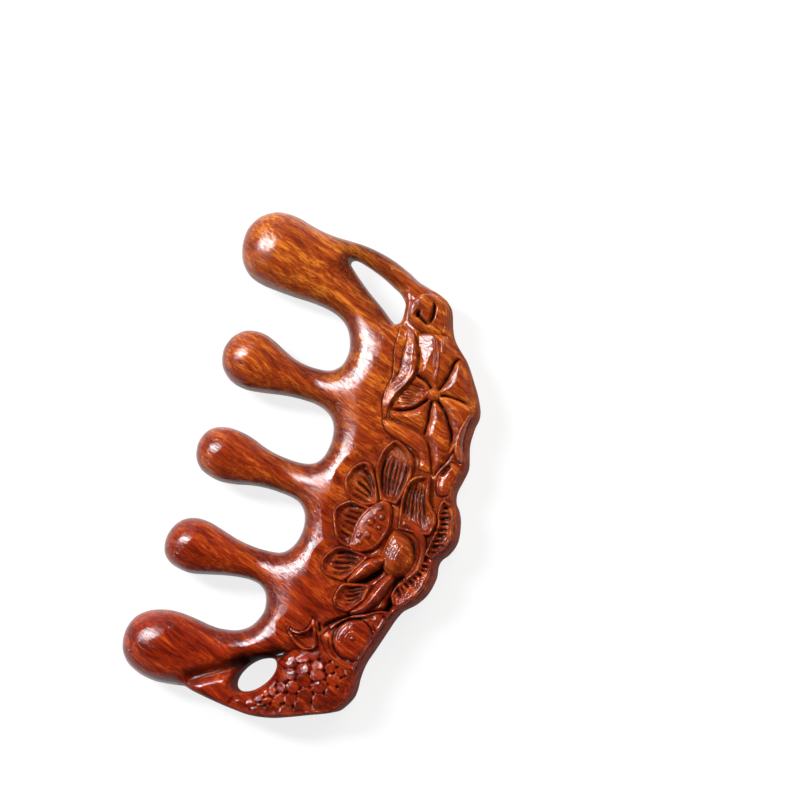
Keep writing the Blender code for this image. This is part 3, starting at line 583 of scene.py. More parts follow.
def plain_height(points, index, depth):
    """Top of the wood before any carving."""
    sx, sy = share_of(points).T
    strength = strength_at(sy, SWELL_OVER)
    stem = smoothstep(*STEM_SIDEWAYS, sx)
    stem = stem * smoothstep(*STEM_LOW_END, sy) * smoothstep(*STEM_HIGH_END, sy)
    over = strength * (1 + STEM_BOOST * stem) * swell_at(points, index, depth)
    in_hole = index >= len(outer_loop) + len(tear_loop)
    round_over = np.where(in_hole, HOLE_FUNNEL, WALL_ROUND)
    drop = np.where(in_hole, HOLE_FUNNEL_DROP, WALL_ROUND_DROP) * (1 - edge_soft[index])
    return MIDDLE_Z + over - drop * (1 - quarter(depth, round_over))


def plain_bottom(points, index, depth):
    """Underside of the wood, flat below the back and round below the teeth."""
    sx, sy = share_of(points).T
    strength = strength_at(sy, SWELL_UNDER)
    under = np.minimum(strength * swell_at(points, index, depth), MIDDLE_Z)
    drop = WALL_ROUND * (1 - edge_soft[index]) * (1 - quarter(depth, WALL_ROUND))
    return MIDDLE_Z - under + drop


print("wood over the middle", SWELL_OVER, "mm")

# %% [markdown]
# ## Knife work
# A cut is a smooth line with a width and a depth, shallow at both ends. It lowers the wood and
# darkens it, partly with the polish and dirt that stay in it and partly with painted shade. A rib
# is a soft raised line. The gouge leaves the carved faces a little uneven, which is what breaks up
# the shine on them.

# %% Knife work
CUT_SPACING = 0.5
CUT_END = 0.3
CUT_RUN_IN = 0.22
CUT_STAIN_AND_SHADE = 1.4
CUT_STAIN_AND_SHADE_RANGE = (0.45, 0.95)
FLUTE_UNEVEN = (1.0, 0.8, 1.25, 0.9, 1.1)
FLUTE_ENDS = (0.02, 0.20, -0.08, 0.13, -0.02)
GOUGE_STEP = 0.75
GOUGE_SEED = 4
GOUGE_SHRINK = 0.8
gouge_rows, gouge_columns, _ = grid_points(GOUGE_STEP)
gouge_marks = np.random.RandomState(GOUGE_SEED).rand(gouge_rows, gouge_columns) - 0.5


def gouge_at(points):
    """Uneven height between -0.5 and 0.5 that the gouge left."""
    turned = points[:, ::-1] * (1, -1) * GOUGE_SHRINK
    return 0.5 * (sample(gouge_marks, GOUGE_STEP, points) + sample(gouge_marks, GOUGE_STEP, turned))


def cut_line(places):
    """The smooth line of a cut, in millimetres."""
    return curve(carved(places), CUT_SPACING)


def carve(points, height, stain_and_shade, places, width, depth, dark=1.0):
    """Cuts one smooth line into the heights, as a round gouge does, shallow at both ends."""
    gap, along = line_place(points, cut_line(places))
    full = CUT_END + (1 - CUT_END) * smoothstep(0, CUT_RUN_IN, np.minimum(along, 1 - along))
    if np.allclose(places[0], places[-1]):
        full = np.ones(len(points))
    section = smoothstep(0, 1, 1 - gap / (width * full))
    height -= depth * full * section
    # The cut is darkened: partly polish and dirt in it, partly painted shade.
    stain_and_shade += dark * min(depth * CUT_STAIN_AND_SHADE, 1.0) * full * smoothstep(*CUT_STAIN_AND_SHADE_RANGE, section)


def raise_rib(points, height, places, width, rise):
    """Raises one soft line."""
    height += rise * np.exp(-(line_gap(points, cut_line(places)) / width) ** 2)


def fan(first, last, count):
    """Lines spread evenly between a first and a last line of as many points."""
    first, last = np.array(first), np.array(last)
    return [first + (last - first) * k / (count - 1) for k in range(count)]


def flutes(first, last, count, width, depth):
    """A fan of cuts, each with its own width, depth and ends, as a hand leaves them."""
    cuts = []
    turns = len(FLUTE_ENDS)
    for k, line in enumerate(fan(first, last, count)):
        head, tail = line[1] - line[0], line[-2] - line[-1]
        line[0] += head * FLUTE_ENDS[k % turns]
        line[-1] += tail * FLUTE_ENDS[(k + 3) % turns]
        cuts.append((line, width * FLUTE_UNEVEN[k % turns], depth * FLUTE_UNEVEN[(k + 2) % turns]))
    return cuts


print("gouge marks", gouge_marks.shape)

# %% [markdown]
# ## Carved elements
# Each element is described by its outline and by what a carver would do to it: how high it stands,
# which way it leans, whether it is crowned or hollowed, how its rim stands up, which faces are cut
# flat, and which lines are cut in it. Where an element reaches the wall of the comb it rounds over
# with the wall.

# %% Describing an element
RELIEF_STEP = 0.2
FOOT_Z = 10.2
EDGE_FOOT_Z = 11.6
RELIEF_ROUND = 0.3
WALL_CLEAR = 0.8
elements = {}


def without_spikes(loop):
    """Drops the points where a loop runs back over itself."""
    while True:
        step = np.roll(loop, -1, 0) - loop
        back = (np.roll(step, 1, 0) * step).sum(1) < 0
        drop = back | (np.linalg.norm(step, axis=1) < RELIEF_STEP / 4)
        if not drop.any():
            return loop
        loop = loop[~drop]


def keep_off_wall(loop):
    """Moves a border in from the edge of the comb where it comes too close."""
    index, depth = comb_border.nearest(loop)
    near = depth < WALL_CLEAR
    loop = loop.copy()
    loop[near] = comb_border.at[index[near]] + comb_border.inward[index[near]] * WALL_CLEAR
    if near.any():
        loop = without_spikes(loop)
    ring = np.vstack([loop, loop[:1]])
    run = np.concatenate([[0], np.cumsum(np.linalg.norm(np.diff(ring, axis=0), axis=1))])
    at = np.linspace(0, run[-1], int(run[-1] / RELIEF_STEP) + 1)[:-1]
    return np.stack([np.interp(at, run, ring[:, k]) for k in (0, 1)], 1)


def element(name, *lines, level, slot, crown=0.0, crown_width=3.0, rim=None, lean=None,
            hollow=None, cuts=(), ribs=(), pillow=None, faces=(), edge_round=RELIEF_ROUND,
            foot=FOOT_Z, edge_foot=EDGE_FOOT_Z, dots=(), rough=0.12, blend=False):
    """Notes how one carved element is shaped.

    lean: from, to, rise. rim: rise, width, inset. hollow: depth, reach. pillow: rise, radius.
    A cut: places, width, depth. A rib: places, width, rise. A face: middle, reach, height, slope.
    A dot: middle, radius, rise. Places are on the sheet, all other sizes are millimetres.
    """
    loop = keep_off_wall(loop_of(*[carved(line) for line in lines], spacing=RELIEF_STEP))
    elements[name] = dict(border=Border([loop]), level=level, slot=slot, crown=crown,
                          crown_width=crown_width, rim=rim, lean=lean, hollow=hollow, cuts=cuts,
                          ribs=ribs, pillow=pillow, faces=faces, edge_round=edge_round, foot=foot,
                          edge_foot=edge_foot, dots=dots, rough=rough, blend=blend)


print("an element stands on a foot at", FOOT_Z, "mm")

# %% [markdown]
# The top of an element is worked as a carver would work it: first its lean, its crown and its
# lobes, then the hollow and the rim, then the flat faces, and last the cuts, ribs and dots.

# %% Shaping an element
FACE_WAY = (0.16, 0.99)
FACE_SOFT = 0.75
HOLLOW_START = 0.35
HOLLOW_SHADE = 0.12
DOT_RING_SHADE = 0.7
DOT_RING = 1.15
DOT_RING_WIDTH = 0.18


def dome(depth, radius):
    """0 at an edge, 1 a radius inside it, along a parabola."""
    return 1 - (1 - np.clip(depth / radius, 0, 1)) ** 2


def element_height(e, points, depth):
    """Top of an element, and its stain and painted shade, before its edge is rounded."""
    height = np.full(len(points), float(e["level"]))
    stain_and_shade = np.zeros(len(points))
    if e["lean"]:
        a, b, rise = e["lean"]
        a, b = carved(a), carved(b)
        run = b - a
        height += rise * smoothstep(0, 1, ((points - a) @ run) / (run @ run))
    height += e["crown"] * dome(depth, e["crown_width"])
    if e["pillow"]:
        rise, radius = e["pillow"]
        gap = depth.copy()
        for places, _, _ in e["cuts"]:
            gap = np.minimum(gap, line_gap(points, cut_line(places)))
        height += rise * dome(gap, radius)
    if e["hollow"]:
        deep, reach = e["hollow"]
        share = smoothstep(HOLLOW_START, HOLLOW_START + reach, depth)
        height -= deep * share
        # The hollow is painted darker as shade.
        stain_and_shade += HOLLOW_SHADE * share
    if e["rim"]:
        rise, width, inset = e["rim"]
        height += rise * np.exp(-((depth - inset) / width) ** 2)
    for middle, reach, base, slope in e["faces"]:
        away = points - carved(middle)
        flat = base + slope * (away @ np.array(FACE_WAY))
        weight = smoothstep(reach, reach * FACE_SOFT, np.linalg.norm(away, axis=1))
        height = np.minimum(height, height + (flat - height) * weight)
    height += e["rough"] * gouge_at(points)
    for places, width, deep in e["cuts"]:
        carve(points, height, stain_and_shade, places, width, deep)
    for places, width, rise in e["ribs"]:
        raise_rib(points, height, places, width, rise)
    for middle, radius, rise in e["dots"]:
        away = np.linalg.norm(points - carved(middle), axis=1)
        height += rise * np.sqrt(np.clip(1 - (away / radius) ** 2, 0, 1))
        # A ring of painted shade round the foot of each dot.
        stain_and_shade += DOT_RING_SHADE * np.exp(-((away - radius * DOT_RING) / DOT_RING_WIDTH) ** 2)
    return height, stain_and_shade


print("flat faces rise along", FACE_WAY)

# %% [markdown]
# Each element is rounded down to its edge. Beside the straight wall it ends just under the plain
# wood, so that the two read as one surface. Elsewhere a thin line of painted shade runs along its
# foot, and its sides are painted dark as shade.

# %% Settling an element
RELIEF_SPACING = 0.18
RELIEF_RINGS = RINGS[:4]
RELIEF_TOP_Z = 14.75
WALL_NEAR = 2.0
BLEND_ROUND = 2.4
BELOW_PLAIN = 0.12
WALL_STAIN_AND_SHADE_LOSS = 0.6
EDGE_STAIN_AND_SHADE_REACH = 0.5
EDGE_SHADE_LINE = 0.3
EDGE_SHADE_LINE_WIDTH = 0.2


def settle(e, points, height, stain_and_shade, depth):
    """Rounds an element down to its edge, and together with the wall where it is close."""
    index, comb_depth = comb_border.nearest(points)
    wall = 1 - smoothstep(WALL_CLEAR, WALL_NEAR, comb_depth)
    if e["foot"] < FOOT_Z:
        wall = np.zeros(len(points))
    plain = plain_height(points, index, comb_depth) - BELOW_PLAIN
    foot = e["edge_foot"] + (plain - e["edge_foot"]) * wall
    radius = e["edge_round"] + (WALL_NEAR - e["edge_round"]) * wall
    if e["blend"]:
        foot, radius, wall = plain, BLEND_ROUND, np.ones(len(points))
    share = quarter(depth, radius)
    loss = (1 - WALL_STAIN_AND_SHADE_LOSS * wall * share) * smoothstep(0, EDGE_STAIN_AND_SHADE_REACH, share)
    stain_and_shade = np.clip(stain_and_shade, 0, 1) * loss
    # A thin line of painted shade round the element's foot, except beside the wall.
    stain_and_shade += EDGE_SHADE_LINE * (1 - quarter(depth, EDGE_SHADE_LINE_WIDTH)) * (1 - wall)
    height = np.minimum(height, RELIEF_TOP_Z)
    return foot + (height - foot) * share, stain_and_shade, wall


def carve_element(name):
    """Makes the mesh of one element and lets it stand for its solid."""
    e = elements[name]
    at, tris, depth, _, rim = layout(e["border"], RELIEF_SPACING, RELIEF_RINGS)
    height, stain_and_shade = element_height(e, at, depth)
    if "extra" in e:
        e["extra"](at, height, stain_and_shade, depth)
    height, stain_and_shade, wall = settle(e, at, height, stain_and_shade, depth)
    n = len(at)
    verts = np.vstack([np.column_stack([at, height]),
                       np.column_stack([at[rim], np.full(len(rim), e["foot"])])])
    faces = tris.tolist()
    faces += [(n + i, n + j, int(rim[j]), int(rim[i])) for i, j in rim_pairs(e["border"])]
    faces.append(tuple(range(len(verts) - 1, n - 1, -1)))
    # The sides of the element are painted dark as shade, except beside the comb's wall.
    made = wood_object("carved_" + name, verts, faces, np.concatenate([stain_and_shade, 1 - wall[rim]]))
    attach(made, "root")
    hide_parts(name)
    return made


print("elements end", BELOW_PLAIN, "mm under the plain wood beside the wall")

# %% [markdown]
# ## The lotus leaf
# The leaf lies open, seen from above, with its edge folded over in four places. Knife cuts run out
# from a small boss and part it into swelling lobes. Two lobes are cut flat towards the teeth, and
# they catch the light.

# %% Leaf
BOSS = (268, 775)
BOSS_SIZE = (28.7, 47.8)


def circle(middle, size, count=16):
    """Places round an ellipse of this size, with the first place again at the end."""
    turns = [2 * math.pi * k / count for k in range(count + 1)]
    return [(middle[0] + size[0] / 2 * math.cos(a), middle[1] + size[1] / 2 * math.sin(a))
            for a in turns]


element("leaf_blade",
        [(156, 662), (148, 700), (145, 745), (150, 790), (170, 840), (200, 880), (240, 930),
         (280, 960), (320, 960), (350, 920), (368, 895), (388, 884), (410, 866), (426, 852),
         (402, 833), (378, 816), (359, 795), (348, 758), (342, 700), (340, 657), (322, 647),
         (295, 657), (268, 680), (240, 696), (200, 688), (175, 668), (156, 662)],
        level=12.2, slot="leaf", pillow=(1.2, 2.3), edge_round=0.7,
        cuts=[([BOSS, (245, 792), (225, 802), (190, 812), (180, 835)], 0.62, 1.3),
              ([BOSS, (262, 820), (262, 860), (268, 915)], 0.5, 0.9),
              ([BOSS, (300, 776), (320, 781), (365, 783)], 0.5, 1.2),
              ([BOSS, (290, 745), (305, 722), (315, 690), (322, 650)], 0.7, 1.3),
              ([BOSS, (250, 750), (243, 730), (238, 690)], 0.7, 1.1),
              ([BOSS, (292, 825), (312, 848), (335, 872), (368, 880)], 0.6, 1.2)]
        + flutes([(258, 668), (264, 740)], [(306, 664), (296, 722)], 8, 0.33, 0.36),
        ribs=[([(145, 752), (160, 757), (178, 766)], 0.3, 0.45),
              ([(150, 727), (165, 737), (185, 752), (210, 763), (240, 768)], 0.24, 0.4),
              ([(152, 718), (170, 729), (190, 743), (212, 753)], 0.24, 0.3)],
        faces=[((192, 692), 6.0, 12.75, 0.28), ((285, 700), 3.8, 12.7, 0.30)])
element("leaf_boss", circle(BOSS, BOSS_SIZE), level=12.9, slot="leaf", crown=0.9,
        crown_width=1.6, rough=0.1)
element("leaf_scroll",
        [(70, 665), (76, 705), (92, 745), (118, 775), (140, 770), (152, 700), (148, 655),
         (130, 618), (103, 608), (80, 630), (70, 665)],
        level=12.5, slot="leaf", crown=0.35, crown_width=2.0, edge_round=0.9, rough=0.0,
        lean=((110, 720), (110, 630), 0.35),
        cuts=[([(86, 684), (92, 689), (112, 693), (134, 690)], 0.75, 1.8),
              ([(136, 692), (130, 672), (122, 650), (114, 636)], 0.6, 1.6),
              ([(110, 650), (119, 641), (128, 646)], 0.9, 1.2)],
        ribs=[([(108, 738), (125, 746), (142, 750)], 0.3, 0.4)])
print(len(elements), "elements described")

# %% [markdown]
# The edge of the leaf is folded over towards the stem, the flower and the wall, and its tip curls
# up. Each fold is a narrow strip with a raised rim.

# %% Folds of the leaf
element("leaf_fold_inner",
        [(150, 592), (165, 598), (200, 600), (240, 616), (260, 620), (280, 614), (310, 613),
         (343, 632)],
        [(341, 646), (318, 643), (292, 653), (267, 676), (237, 693), (200, 684), (174, 664),
         (158, 650), (148, 615)],
        level=12.5, slot="leaf", crown=0.2, crown_width=1.0, rim=(0.3, 0.22, 0.3),
        cuts=[([(160, 630), (185, 633), (212, 636), (238, 640), (258, 634), (275, 619)],
                0.35, 0.5)],
        ribs=[([(165, 657), (190, 667), (215, 675), (240, 682), (262, 668), (285, 647), (312, 638)],
                1.35, 0.75)])
element("leaf_fold_lower",
        [(345, 630), (356, 640), (368, 660), (377, 700), (384, 750), (396, 786), (421, 800)],
        [(425, 845), (404, 833), (380, 816), (361, 795), (350, 758), (344, 700), (341, 655)],
        level=12.2, slot="leaf", crown=1.2, crown_width=1.5, rim=(0.4, 0.26, 0.3))
element("leaf_fold_outer",
        [(283, 906), (305, 896), (330, 889), (350, 890), (372, 902), (386, 921)],
        [(384, 945), (370, 945), (355, 935), (335, 930), (310, 930), (283, 930)],
        level=12.6, slot="leaf", crown=0.9, crown_width=0.9, rim=(0.3, 0.25, 0.3))
element("leaf_tip_curl",
        [(388, 898), (388, 920), (401, 945), (420, 945), (440, 935), (460, 910), (457, 881),
         (430, 868), (408, 878), (388, 898)],
        level=12.1, slot="leaf", crown=0.8, crown_width=2.2, rim=(0.35, 0.3, 0.35),
        cuts=[([(392, 901), (405, 888), (422, 878)], 0.8, 1.5)])
print(len(elements), "elements described")

# %% [markdown]
# ## The lotus flower
# Eight petals stand round a seed pod and a half open bud. A petal is hollowed like a spoon, its rim
# stands up sharp, and V cuts run down it as veins.

# %% Petals
PETAL_RIM = (0.85, 0.58, 0.58)
element("petal_1",
        [(505, 705), (475, 680), (450, 662), (420, 660), (400, 668), (380, 688)],
        [(376, 705), (385, 740), (400, 768), (425, 784), (450, 784), (480, 777), (505, 765)],
        level=12.5, slot="lotus", lean=((500, 730), (400, 710), 0.9), rim=PETAL_RIM,
        hollow=(0.8, 1.3),
        cuts=flutes([(415, 684), (450, 684), (500, 712)],
                    [(418, 760), (450, 762), (500, 755)], 6, 0.60, 0.6))
element("petal_2",
        [(505, 700), (475, 680), (450, 655), (437, 632), (442, 605), (458, 582), (480, 571)],
        [(492, 572), (510, 588), (521, 612), (525, 640), (524, 668), (516, 700)],
        level=12.5, slot="lotus", lean=((500, 690), (475, 600), 0.9), rim=PETAL_RIM,
        hollow=(0.8, 1.3),
        cuts=flutes([(453, 616), (464, 648), (497, 690)],
                    [(508, 604), (514, 640), (514, 680)], 5, 0.60, 0.6))
element("petal_3",
        [(524, 700), (522, 645), (521, 612), (532, 585), (548, 566)],
        [(558, 565), (582, 580), (602, 598), (614, 622), (618, 655)],
        level=12.5, slot="lotus", lean=((570, 670), (558, 600), 0.8), rim=PETAL_RIM,
        hollow=(0.8, 1.2),
        cuts=flutes([(534, 602), (531, 640), (530, 680)],
                    [(596, 604), (605, 630), (607, 655)], 7, 0.52, 0.55))
element("petal_4",
        [(552, 790), (520, 780), (490, 774), (458, 776), (441, 790), (432, 812), (427, 838)],
        [(430, 850), (450, 856), (472, 864), (489, 882), (502, 903), (520, 910), (545, 900),
         (550, 860)],
        level=12.6, slot="lotus", lean=((530, 830), (450, 820), 0.8), rim=PETAL_RIM,
        hollow=(0.8, 1.3),
        cuts=flutes([(450, 792), (485, 788), (530, 797)],
                    [(447, 838), (485, 850), (530, 880)], 6, 0.60, 0.6))
element("petal_5",
        [(462, 912), (478, 902), (500, 905), (520, 915), (550, 910), (590, 900)],
        [(592, 950), (580, 965), (560, 990), (530, 1000), (500, 990), (478, 975), (462, 950)],
        level=12.6, slot="lotus", rim=(0.5, 0.3, 0.4), hollow=(0.7, 0.8),
        cuts=flutes([(474, 950), (484, 912)], [(568, 962), (578, 914)], 9, 0.60, 0.8))
print(len(elements), "elements described")

# %% [markdown]
# Two of the petals on the carp's side fold their near edge over into a thick roll. The last petal
# isn't hollowed and lies at the foot of the flower.

# %% Petals beside the carp
element("petal_6",
        [(622, 730), (616, 695), (615, 640), (620, 612), (635, 590), (652, 575)],
        [(664, 577), (678, 590), (684, 612), (685, 640), (682, 670), (650, 705)],
        level=12.5, slot="lotus", lean=((645, 690), (655, 600), 0.8), rim=PETAL_RIM,
        hollow=(0.8, 1.2),
        cuts=flutes([(636, 610), (626, 650), (626, 705)],
                    [(673, 612), (673, 645), (655, 690)], 5, 0.56, 0.6))
element("petal_fold_6",
        [(610, 785), (618, 745), (632, 713), (652, 693), (678, 674)],
        [(688, 682), (674, 715), (660, 740), (644, 765), (622, 790)],
        level=12.7, slot="lotus", crown=1.5, crown_width=1.5, edge_round=0.6, rough=0.15)
element("petal_7",
        [(672, 765), (680, 715), (684, 685), (690, 665), (708, 652)],
        [(726, 651), (740, 664), (744, 690), (742, 715), (710, 755)],
        level=12.4, slot="lotus", lean=((700, 740), (715, 670), 0.8), rim=PETAL_RIM,
        hollow=(0.8, 1.1),
        cuts=flutes([(697, 680), (690, 710), (681, 745)],
                    [(730, 690), (725, 715), (705, 745)], 5, 0.54, 0.6))
element("petal_fold_7",
        [(640, 818), (652, 794), (670, 776), (700, 758), (722, 740), (738, 712)],
        [(746, 722), (738, 757), (722, 785), (700, 808), (672, 824), (648, 830)],
        level=12.7, slot="lotus", crown=1.5, crown_width=1.8, edge_round=0.6, rough=0.15)
element("petal_8",
        [(598, 905), (625, 892), (643, 872), (658, 845), (684, 832)],
        [(702, 850), (704, 880), (690, 915), (665, 950), (635, 960), (610, 960), (596, 940)],
        level=12.6, slot="lotus", rim=(0.4, 0.35, 0.4),
        cuts=flutes([(608, 902), (606, 940)], [(666, 846), (684, 870)], 8, 0.58, 0.8))
print(len(elements), "elements described")

# %% [markdown]
# The seed pod is a low dome with small round seeds. The bud beside it is fluted from end to end and
# sits in a hood.

# %% Heart of the flower
element("seed_pod",
        [(501, 718), (507, 746), (530, 760), (555, 766), (580, 757), (603, 737), (616, 705),
         (620, 672), (614, 652), (588, 648), (562, 650), (541, 660), (520, 684), (501, 718)],
        level=13.5, slot="lotus", crown=0.55, crown_width=4.5, rim=(0.22, 0.25, 0.3),
        edge_round=0.5,
        dots=[((520, 717), 0.6, 0.35), ((537, 733), 0.55, 0.35), ((551, 698), 0.9, 0.4),
              ((580, 705), 0.6, 0.35), ((585, 674), 0.65, 0.35), ((558, 733), 0.55, 0.3),
              ((598, 685), 0.5, 0.3)])
element("lotus_bud",
        [(553, 778), (575, 766), (610, 762), (635, 780), (647, 812), (642, 848), (624, 870),
         (596, 876), (571, 862), (558, 832), (553, 778)],
        level=12.6, slot="lotus", crown=1.9, crown_width=4.2, edge_round=1.0, rough=0.0,
        cuts=flutes([(560, 795), (600, 772), (635, 790)],
                    [(585, 862), (610, 860), (638, 840)], 12, 0.3, 0.09)
        + [([(556, 795), (557, 825), (566, 850), (582, 866), (600, 872)], 0.6, 1.5)])
element("bud_hood",
        [(527, 795), (525, 830), (536, 870), (557, 895), (590, 908), (622, 902), (650, 875)],
        [(640, 862), (622, 882), (595, 888), (569, 876), (554, 853), (546, 828), (547, 795)],
        level=12.8, slot="lotus", crown=0.9, crown_width=1.2)
print(len(elements), "elements described")

# %% [markdown]
# ## The carp
# The carp curls round the oval hole: its head with a great round eye lies beside the flower, the
# scaled body turns along the end of the back, and the tail joins the last tooth.

# %% Carp
CARP_EYE = (793, 757)
CARP_EYE_SIZE = (82, 128)
element("carp_eye", circle(CARP_EYE, CARP_EYE_SIZE, 24), level=13.2, slot="carp", crown=0.45,
        crown_width=3.0, edge_round=0.5, rough=0.05,
        cuts=[(circle(CARP_EYE, (38, 60)), 0.3, 0.06),
              (circle(CARP_EYE, (62, 98), 20), 0.3, 0.05)],
        dots=[((791, 757), 0.4, 0.3)])
element("carp_head",
        [(716, 880), (740, 868), (770, 850), (800, 836), (830, 825), (852, 815), (853, 770),
         (847, 735), (838, 695), (820, 665), (800, 645), (781, 664), (760, 697), (742, 740),
         (731, 782), (719, 820), (716, 880)],
        level=12.5, slot="carp", crown=0.5, crown_width=2.5, rim=(0.9, 0.24, 0.3), rough=0.35,
        cuts=[([(738, 800), (744, 770), (754, 735), (769, 700), (790, 672)], 0.45, 1.2),
              ([(800, 672), (822, 688), (836, 715), (842, 745)], 0.35, 0.5),
              ([(726, 828), (740, 850), (752, 868)], 0.5, 0.7),
              ([(748, 800), (766, 825), (780, 842)], 0.45, 0.5),
              (circle(CARP_EYE, (87, 137), 24), 0.55, 0.7)],
        faces=[((774, 698), 3.0, 12.6, 0.28), ((748, 752), 2.6, 12.6, 0.28)])
element("carp_fin",
        [(773, 603), (793, 597), (804, 584), (808, 562), (802, 532)],
        [(812, 530), (832, 565), (842, 610), (830, 645), (800, 630), (773, 612)],
        level=12.4, slot="carp", rim=(1.7, 0.38, 0.4), hollow=(1.4, 0.7),
        ribs=[([(788, 613), (804, 606), (817, 589), (820, 560)], 0.25, 0.55)],
        faces=[((788, 603), 2.0, 12.7, 0.28), ((806, 558), 1.8, 12.7, 0.28)])
BODY_INNER = [(828, 650), (836, 605), (850, 565), (875, 540), (900, 530), (925, 515), (945, 485),
              (957, 450), (962, 412)]
BODY_OUTER = [(856, 815), (880, 822), (905, 815), (930, 785), (950, 740), (970, 670), (985, 600),
              (998, 520), (995, 440), (990, 415)]
element("carp_body", BODY_INNER, BODY_OUTER[::-1], level=12.3, slot="carp", crown=0.8,
        crown_width=4.5, rough=0.25, blend=True)
element("carp_tail",
        [(914, 408), (932, 399), (950, 392), (970, 390), (992, 402)],
        [(992, 402), (990, 370), (988, 330), (984, 290), (979, 262)],
        [(979, 262), (966, 280), (950, 312), (936, 350), (922, 385), (914, 408)],
        level=10.9, slot="carp", lean=((985, 330), (940, 330), 0.5), rim=(0.5, 0.3, 0.35),
        foot=4.0, edge_foot=8.6, rough=0.1,
        cuts=[([(935, 392), (950, 350), (968, 296)], 1.3, 0.32),
              ([(965, 385), (972, 340), (978, 290)], 1.1, 0.32)])
print(len(elements), "elements described")

# %% [markdown]
# The scales lie in rows that follow the body from the gill to the tail. Each is a small face with
# its own tilt, and the point of the gouge left a pit where three of them meet. The pits and the
# seams are painted dark as shade.

# %% Scales
SCALE_ROWS = 5
SCALES_IN_ROW = 9
ROW_START = 0.16
ROW_STEP = 0.16
SCALE_DOME = 0.16
SCALE_RADIUS = 1.9
SCALE_TILT = 0.55
SCALE_LEAN = (0.26, 0.20, 0.08, 0.0, 0.0)
SCALE_UNEVEN = 1.4
SCALE_SEED = 11
SCALE_MOST = 1.0
SEAM_DEPTH = 0.10
SEAM_RANGE = (0.05, 0.4)
SEAM_SHADE = 0.12
PIT_DEPTH = 1.1
PIT_RANGE = (0.05, 0.85)
PIT_SHADE = 1.2
INNER_FADE = (1.2, 2.6)
OUTER_FADE = (0.8, 2.2)
RIM_FADE = (0.2, 0.9)
TAIL_FADE = (0.46, 0.56)


def line_between(share, count):
    """A line of points along the body, this share of the way from its inner to its outer side."""
    sides = []
    for places in (BODY_INNER, BODY_OUTER):
        side = carved(places)
        step = np.linalg.norm(np.diff(side, axis=0), axis=1).sum() / (count - 1)
        sides.append(curve(side, step)[:count])
    n = min(map(len, sides))
    return sides[0][:n] * (1 - share) + sides[1][:n] * share


def scale_places():
    """Middle and tilt of every scale."""
    chance = np.random.RandomState(SCALE_SEED)
    middles, leans = [], []
    for row in range(SCALE_ROWS):
        line = line_between(ROW_START + row * ROW_STEP, 2 * SCALES_IN_ROW)
        middles.append(line[row % 2::2])
        leans.append(np.full((len(middles[-1]), 1), SCALE_LEAN[row]))
    middles, leans = np.vstack(middles), np.vstack(leans)
    middles = middles + (chance.rand(*middles.shape) - 0.5) * SCALE_UNEVEN
    turn = chance.rand(len(middles)) * 2 * np.pi
    tilt = np.stack([np.cos(turn), np.sin(turn)], 1) * SCALE_TILT * chance.rand(len(middles), 1)
    return middles, tilt + np.array(FACE_WAY) * leans


def scales(points, height, stain_and_shade, depth):
    """Cuts the scales: small tilted faces, with a pit where three of them meet; pits and seams are
    painted dark as shade.
    """
    middles, tilt = scale_places()
    apart = points[:, None] - middles[None]
    gap = np.sqrt((apart ** 2).sum(2))
    order = np.argsort(gap, axis=1)
    mine = order[:, 0]
    here = np.arange(len(points))
    near, next_near, third = (gap[here, order[:, k]] for k in range(3))
    seam = 1 - smoothstep(*SEAM_RANGE, next_near - near)
    pit = 1 - smoothstep(*PIT_RANGE, third - near)
    face = SCALE_DOME * (1 - (near / SCALE_RADIUS) ** 2) - SEAM_DEPTH * seam - PIT_DEPTH * pit
    face = face + (apart[here, mine] * tilt[mine]).sum(1)
    inner, outer = (line_gap(points, cut_line(side)) for side in (BODY_INNER, BODY_OUTER))
    fade = smoothstep(*INNER_FADE, inner) * smoothstep(*TAIL_FADE, share_of(points)[:, 1])
    fade = fade * smoothstep(*OUTER_FADE, outer) * smoothstep(*RIM_FADE, depth)
    height += np.clip(face, -SCALE_MOST, SCALE_MOST) * fade
    # Seams and pits are painted dark as shade.
    stain_and_shade += (SEAM_SHADE * seam + PIT_SHADE * pit) * fade


print(len(scale_places()[0]), "scales")

# %% [markdown]
# A dark band runs along the outside of the body, and fine cuts cross it. With that the last
# element is described, and the meshes can be made.

# %% Band and carving
BAND_DARKENING = 0.42
BAND_RANGE = (1.8, 4.2)
BAND_TAIL_FADE = (0.42, 0.52)
HATCH_SIDES = (0.74, 0.97)
HATCH_LINES = 22
HATCH_CUTS = 14
HATCH_DEPTH = 0.2
HATCH_WIDTH = 0.32
HATCH_STAIN_AND_SHADE = 0.3
HATCH_STAIN_AND_SHADE_WIDTH = 0.3


def band(points, height, stain_and_shade):
    """Darkens the outside of the body and cuts the fine lines across it."""
    outer = line_gap(points, cut_line(BODY_OUTER))
    tail = smoothstep(*BAND_TAIL_FADE, share_of(points)[:, 1])
    stain_and_shade += BAND_DARKENING * (1 - smoothstep(*BAND_RANGE, outer)) * tail
    ends = [line_between(side, HATCH_LINES)[:HATCH_CUTS] for side in HATCH_SIDES]
    for cut in zip(*ends):
        away = line_gap(points, np.array(cut))
        height -= HATCH_DEPTH * np.clip(1 - away / HATCH_WIDTH, 0, 1)
        # Each fine cut is darkened like a knife cut: partly polish in it, partly painted shade.
        stain_and_shade += HATCH_STAIN_AND_SHADE * np.clip(1 - away / HATCH_STAIN_AND_SHADE_WIDTH, 0, 1)


def body_work(points, height, stain_and_shade, depth):
    """All the knife work on the body of the carp."""
    scales(points, height, stain_and_shade, depth)
    band(points, height, stain_and_shade)


elements["carp_body"]["extra"] = body_work
pieces = {name: carve_element(name) for name in elements}
print(len(pieces), "carved elements,", sum(len(p.data.polygons) for p in pieces.values()), "faces")

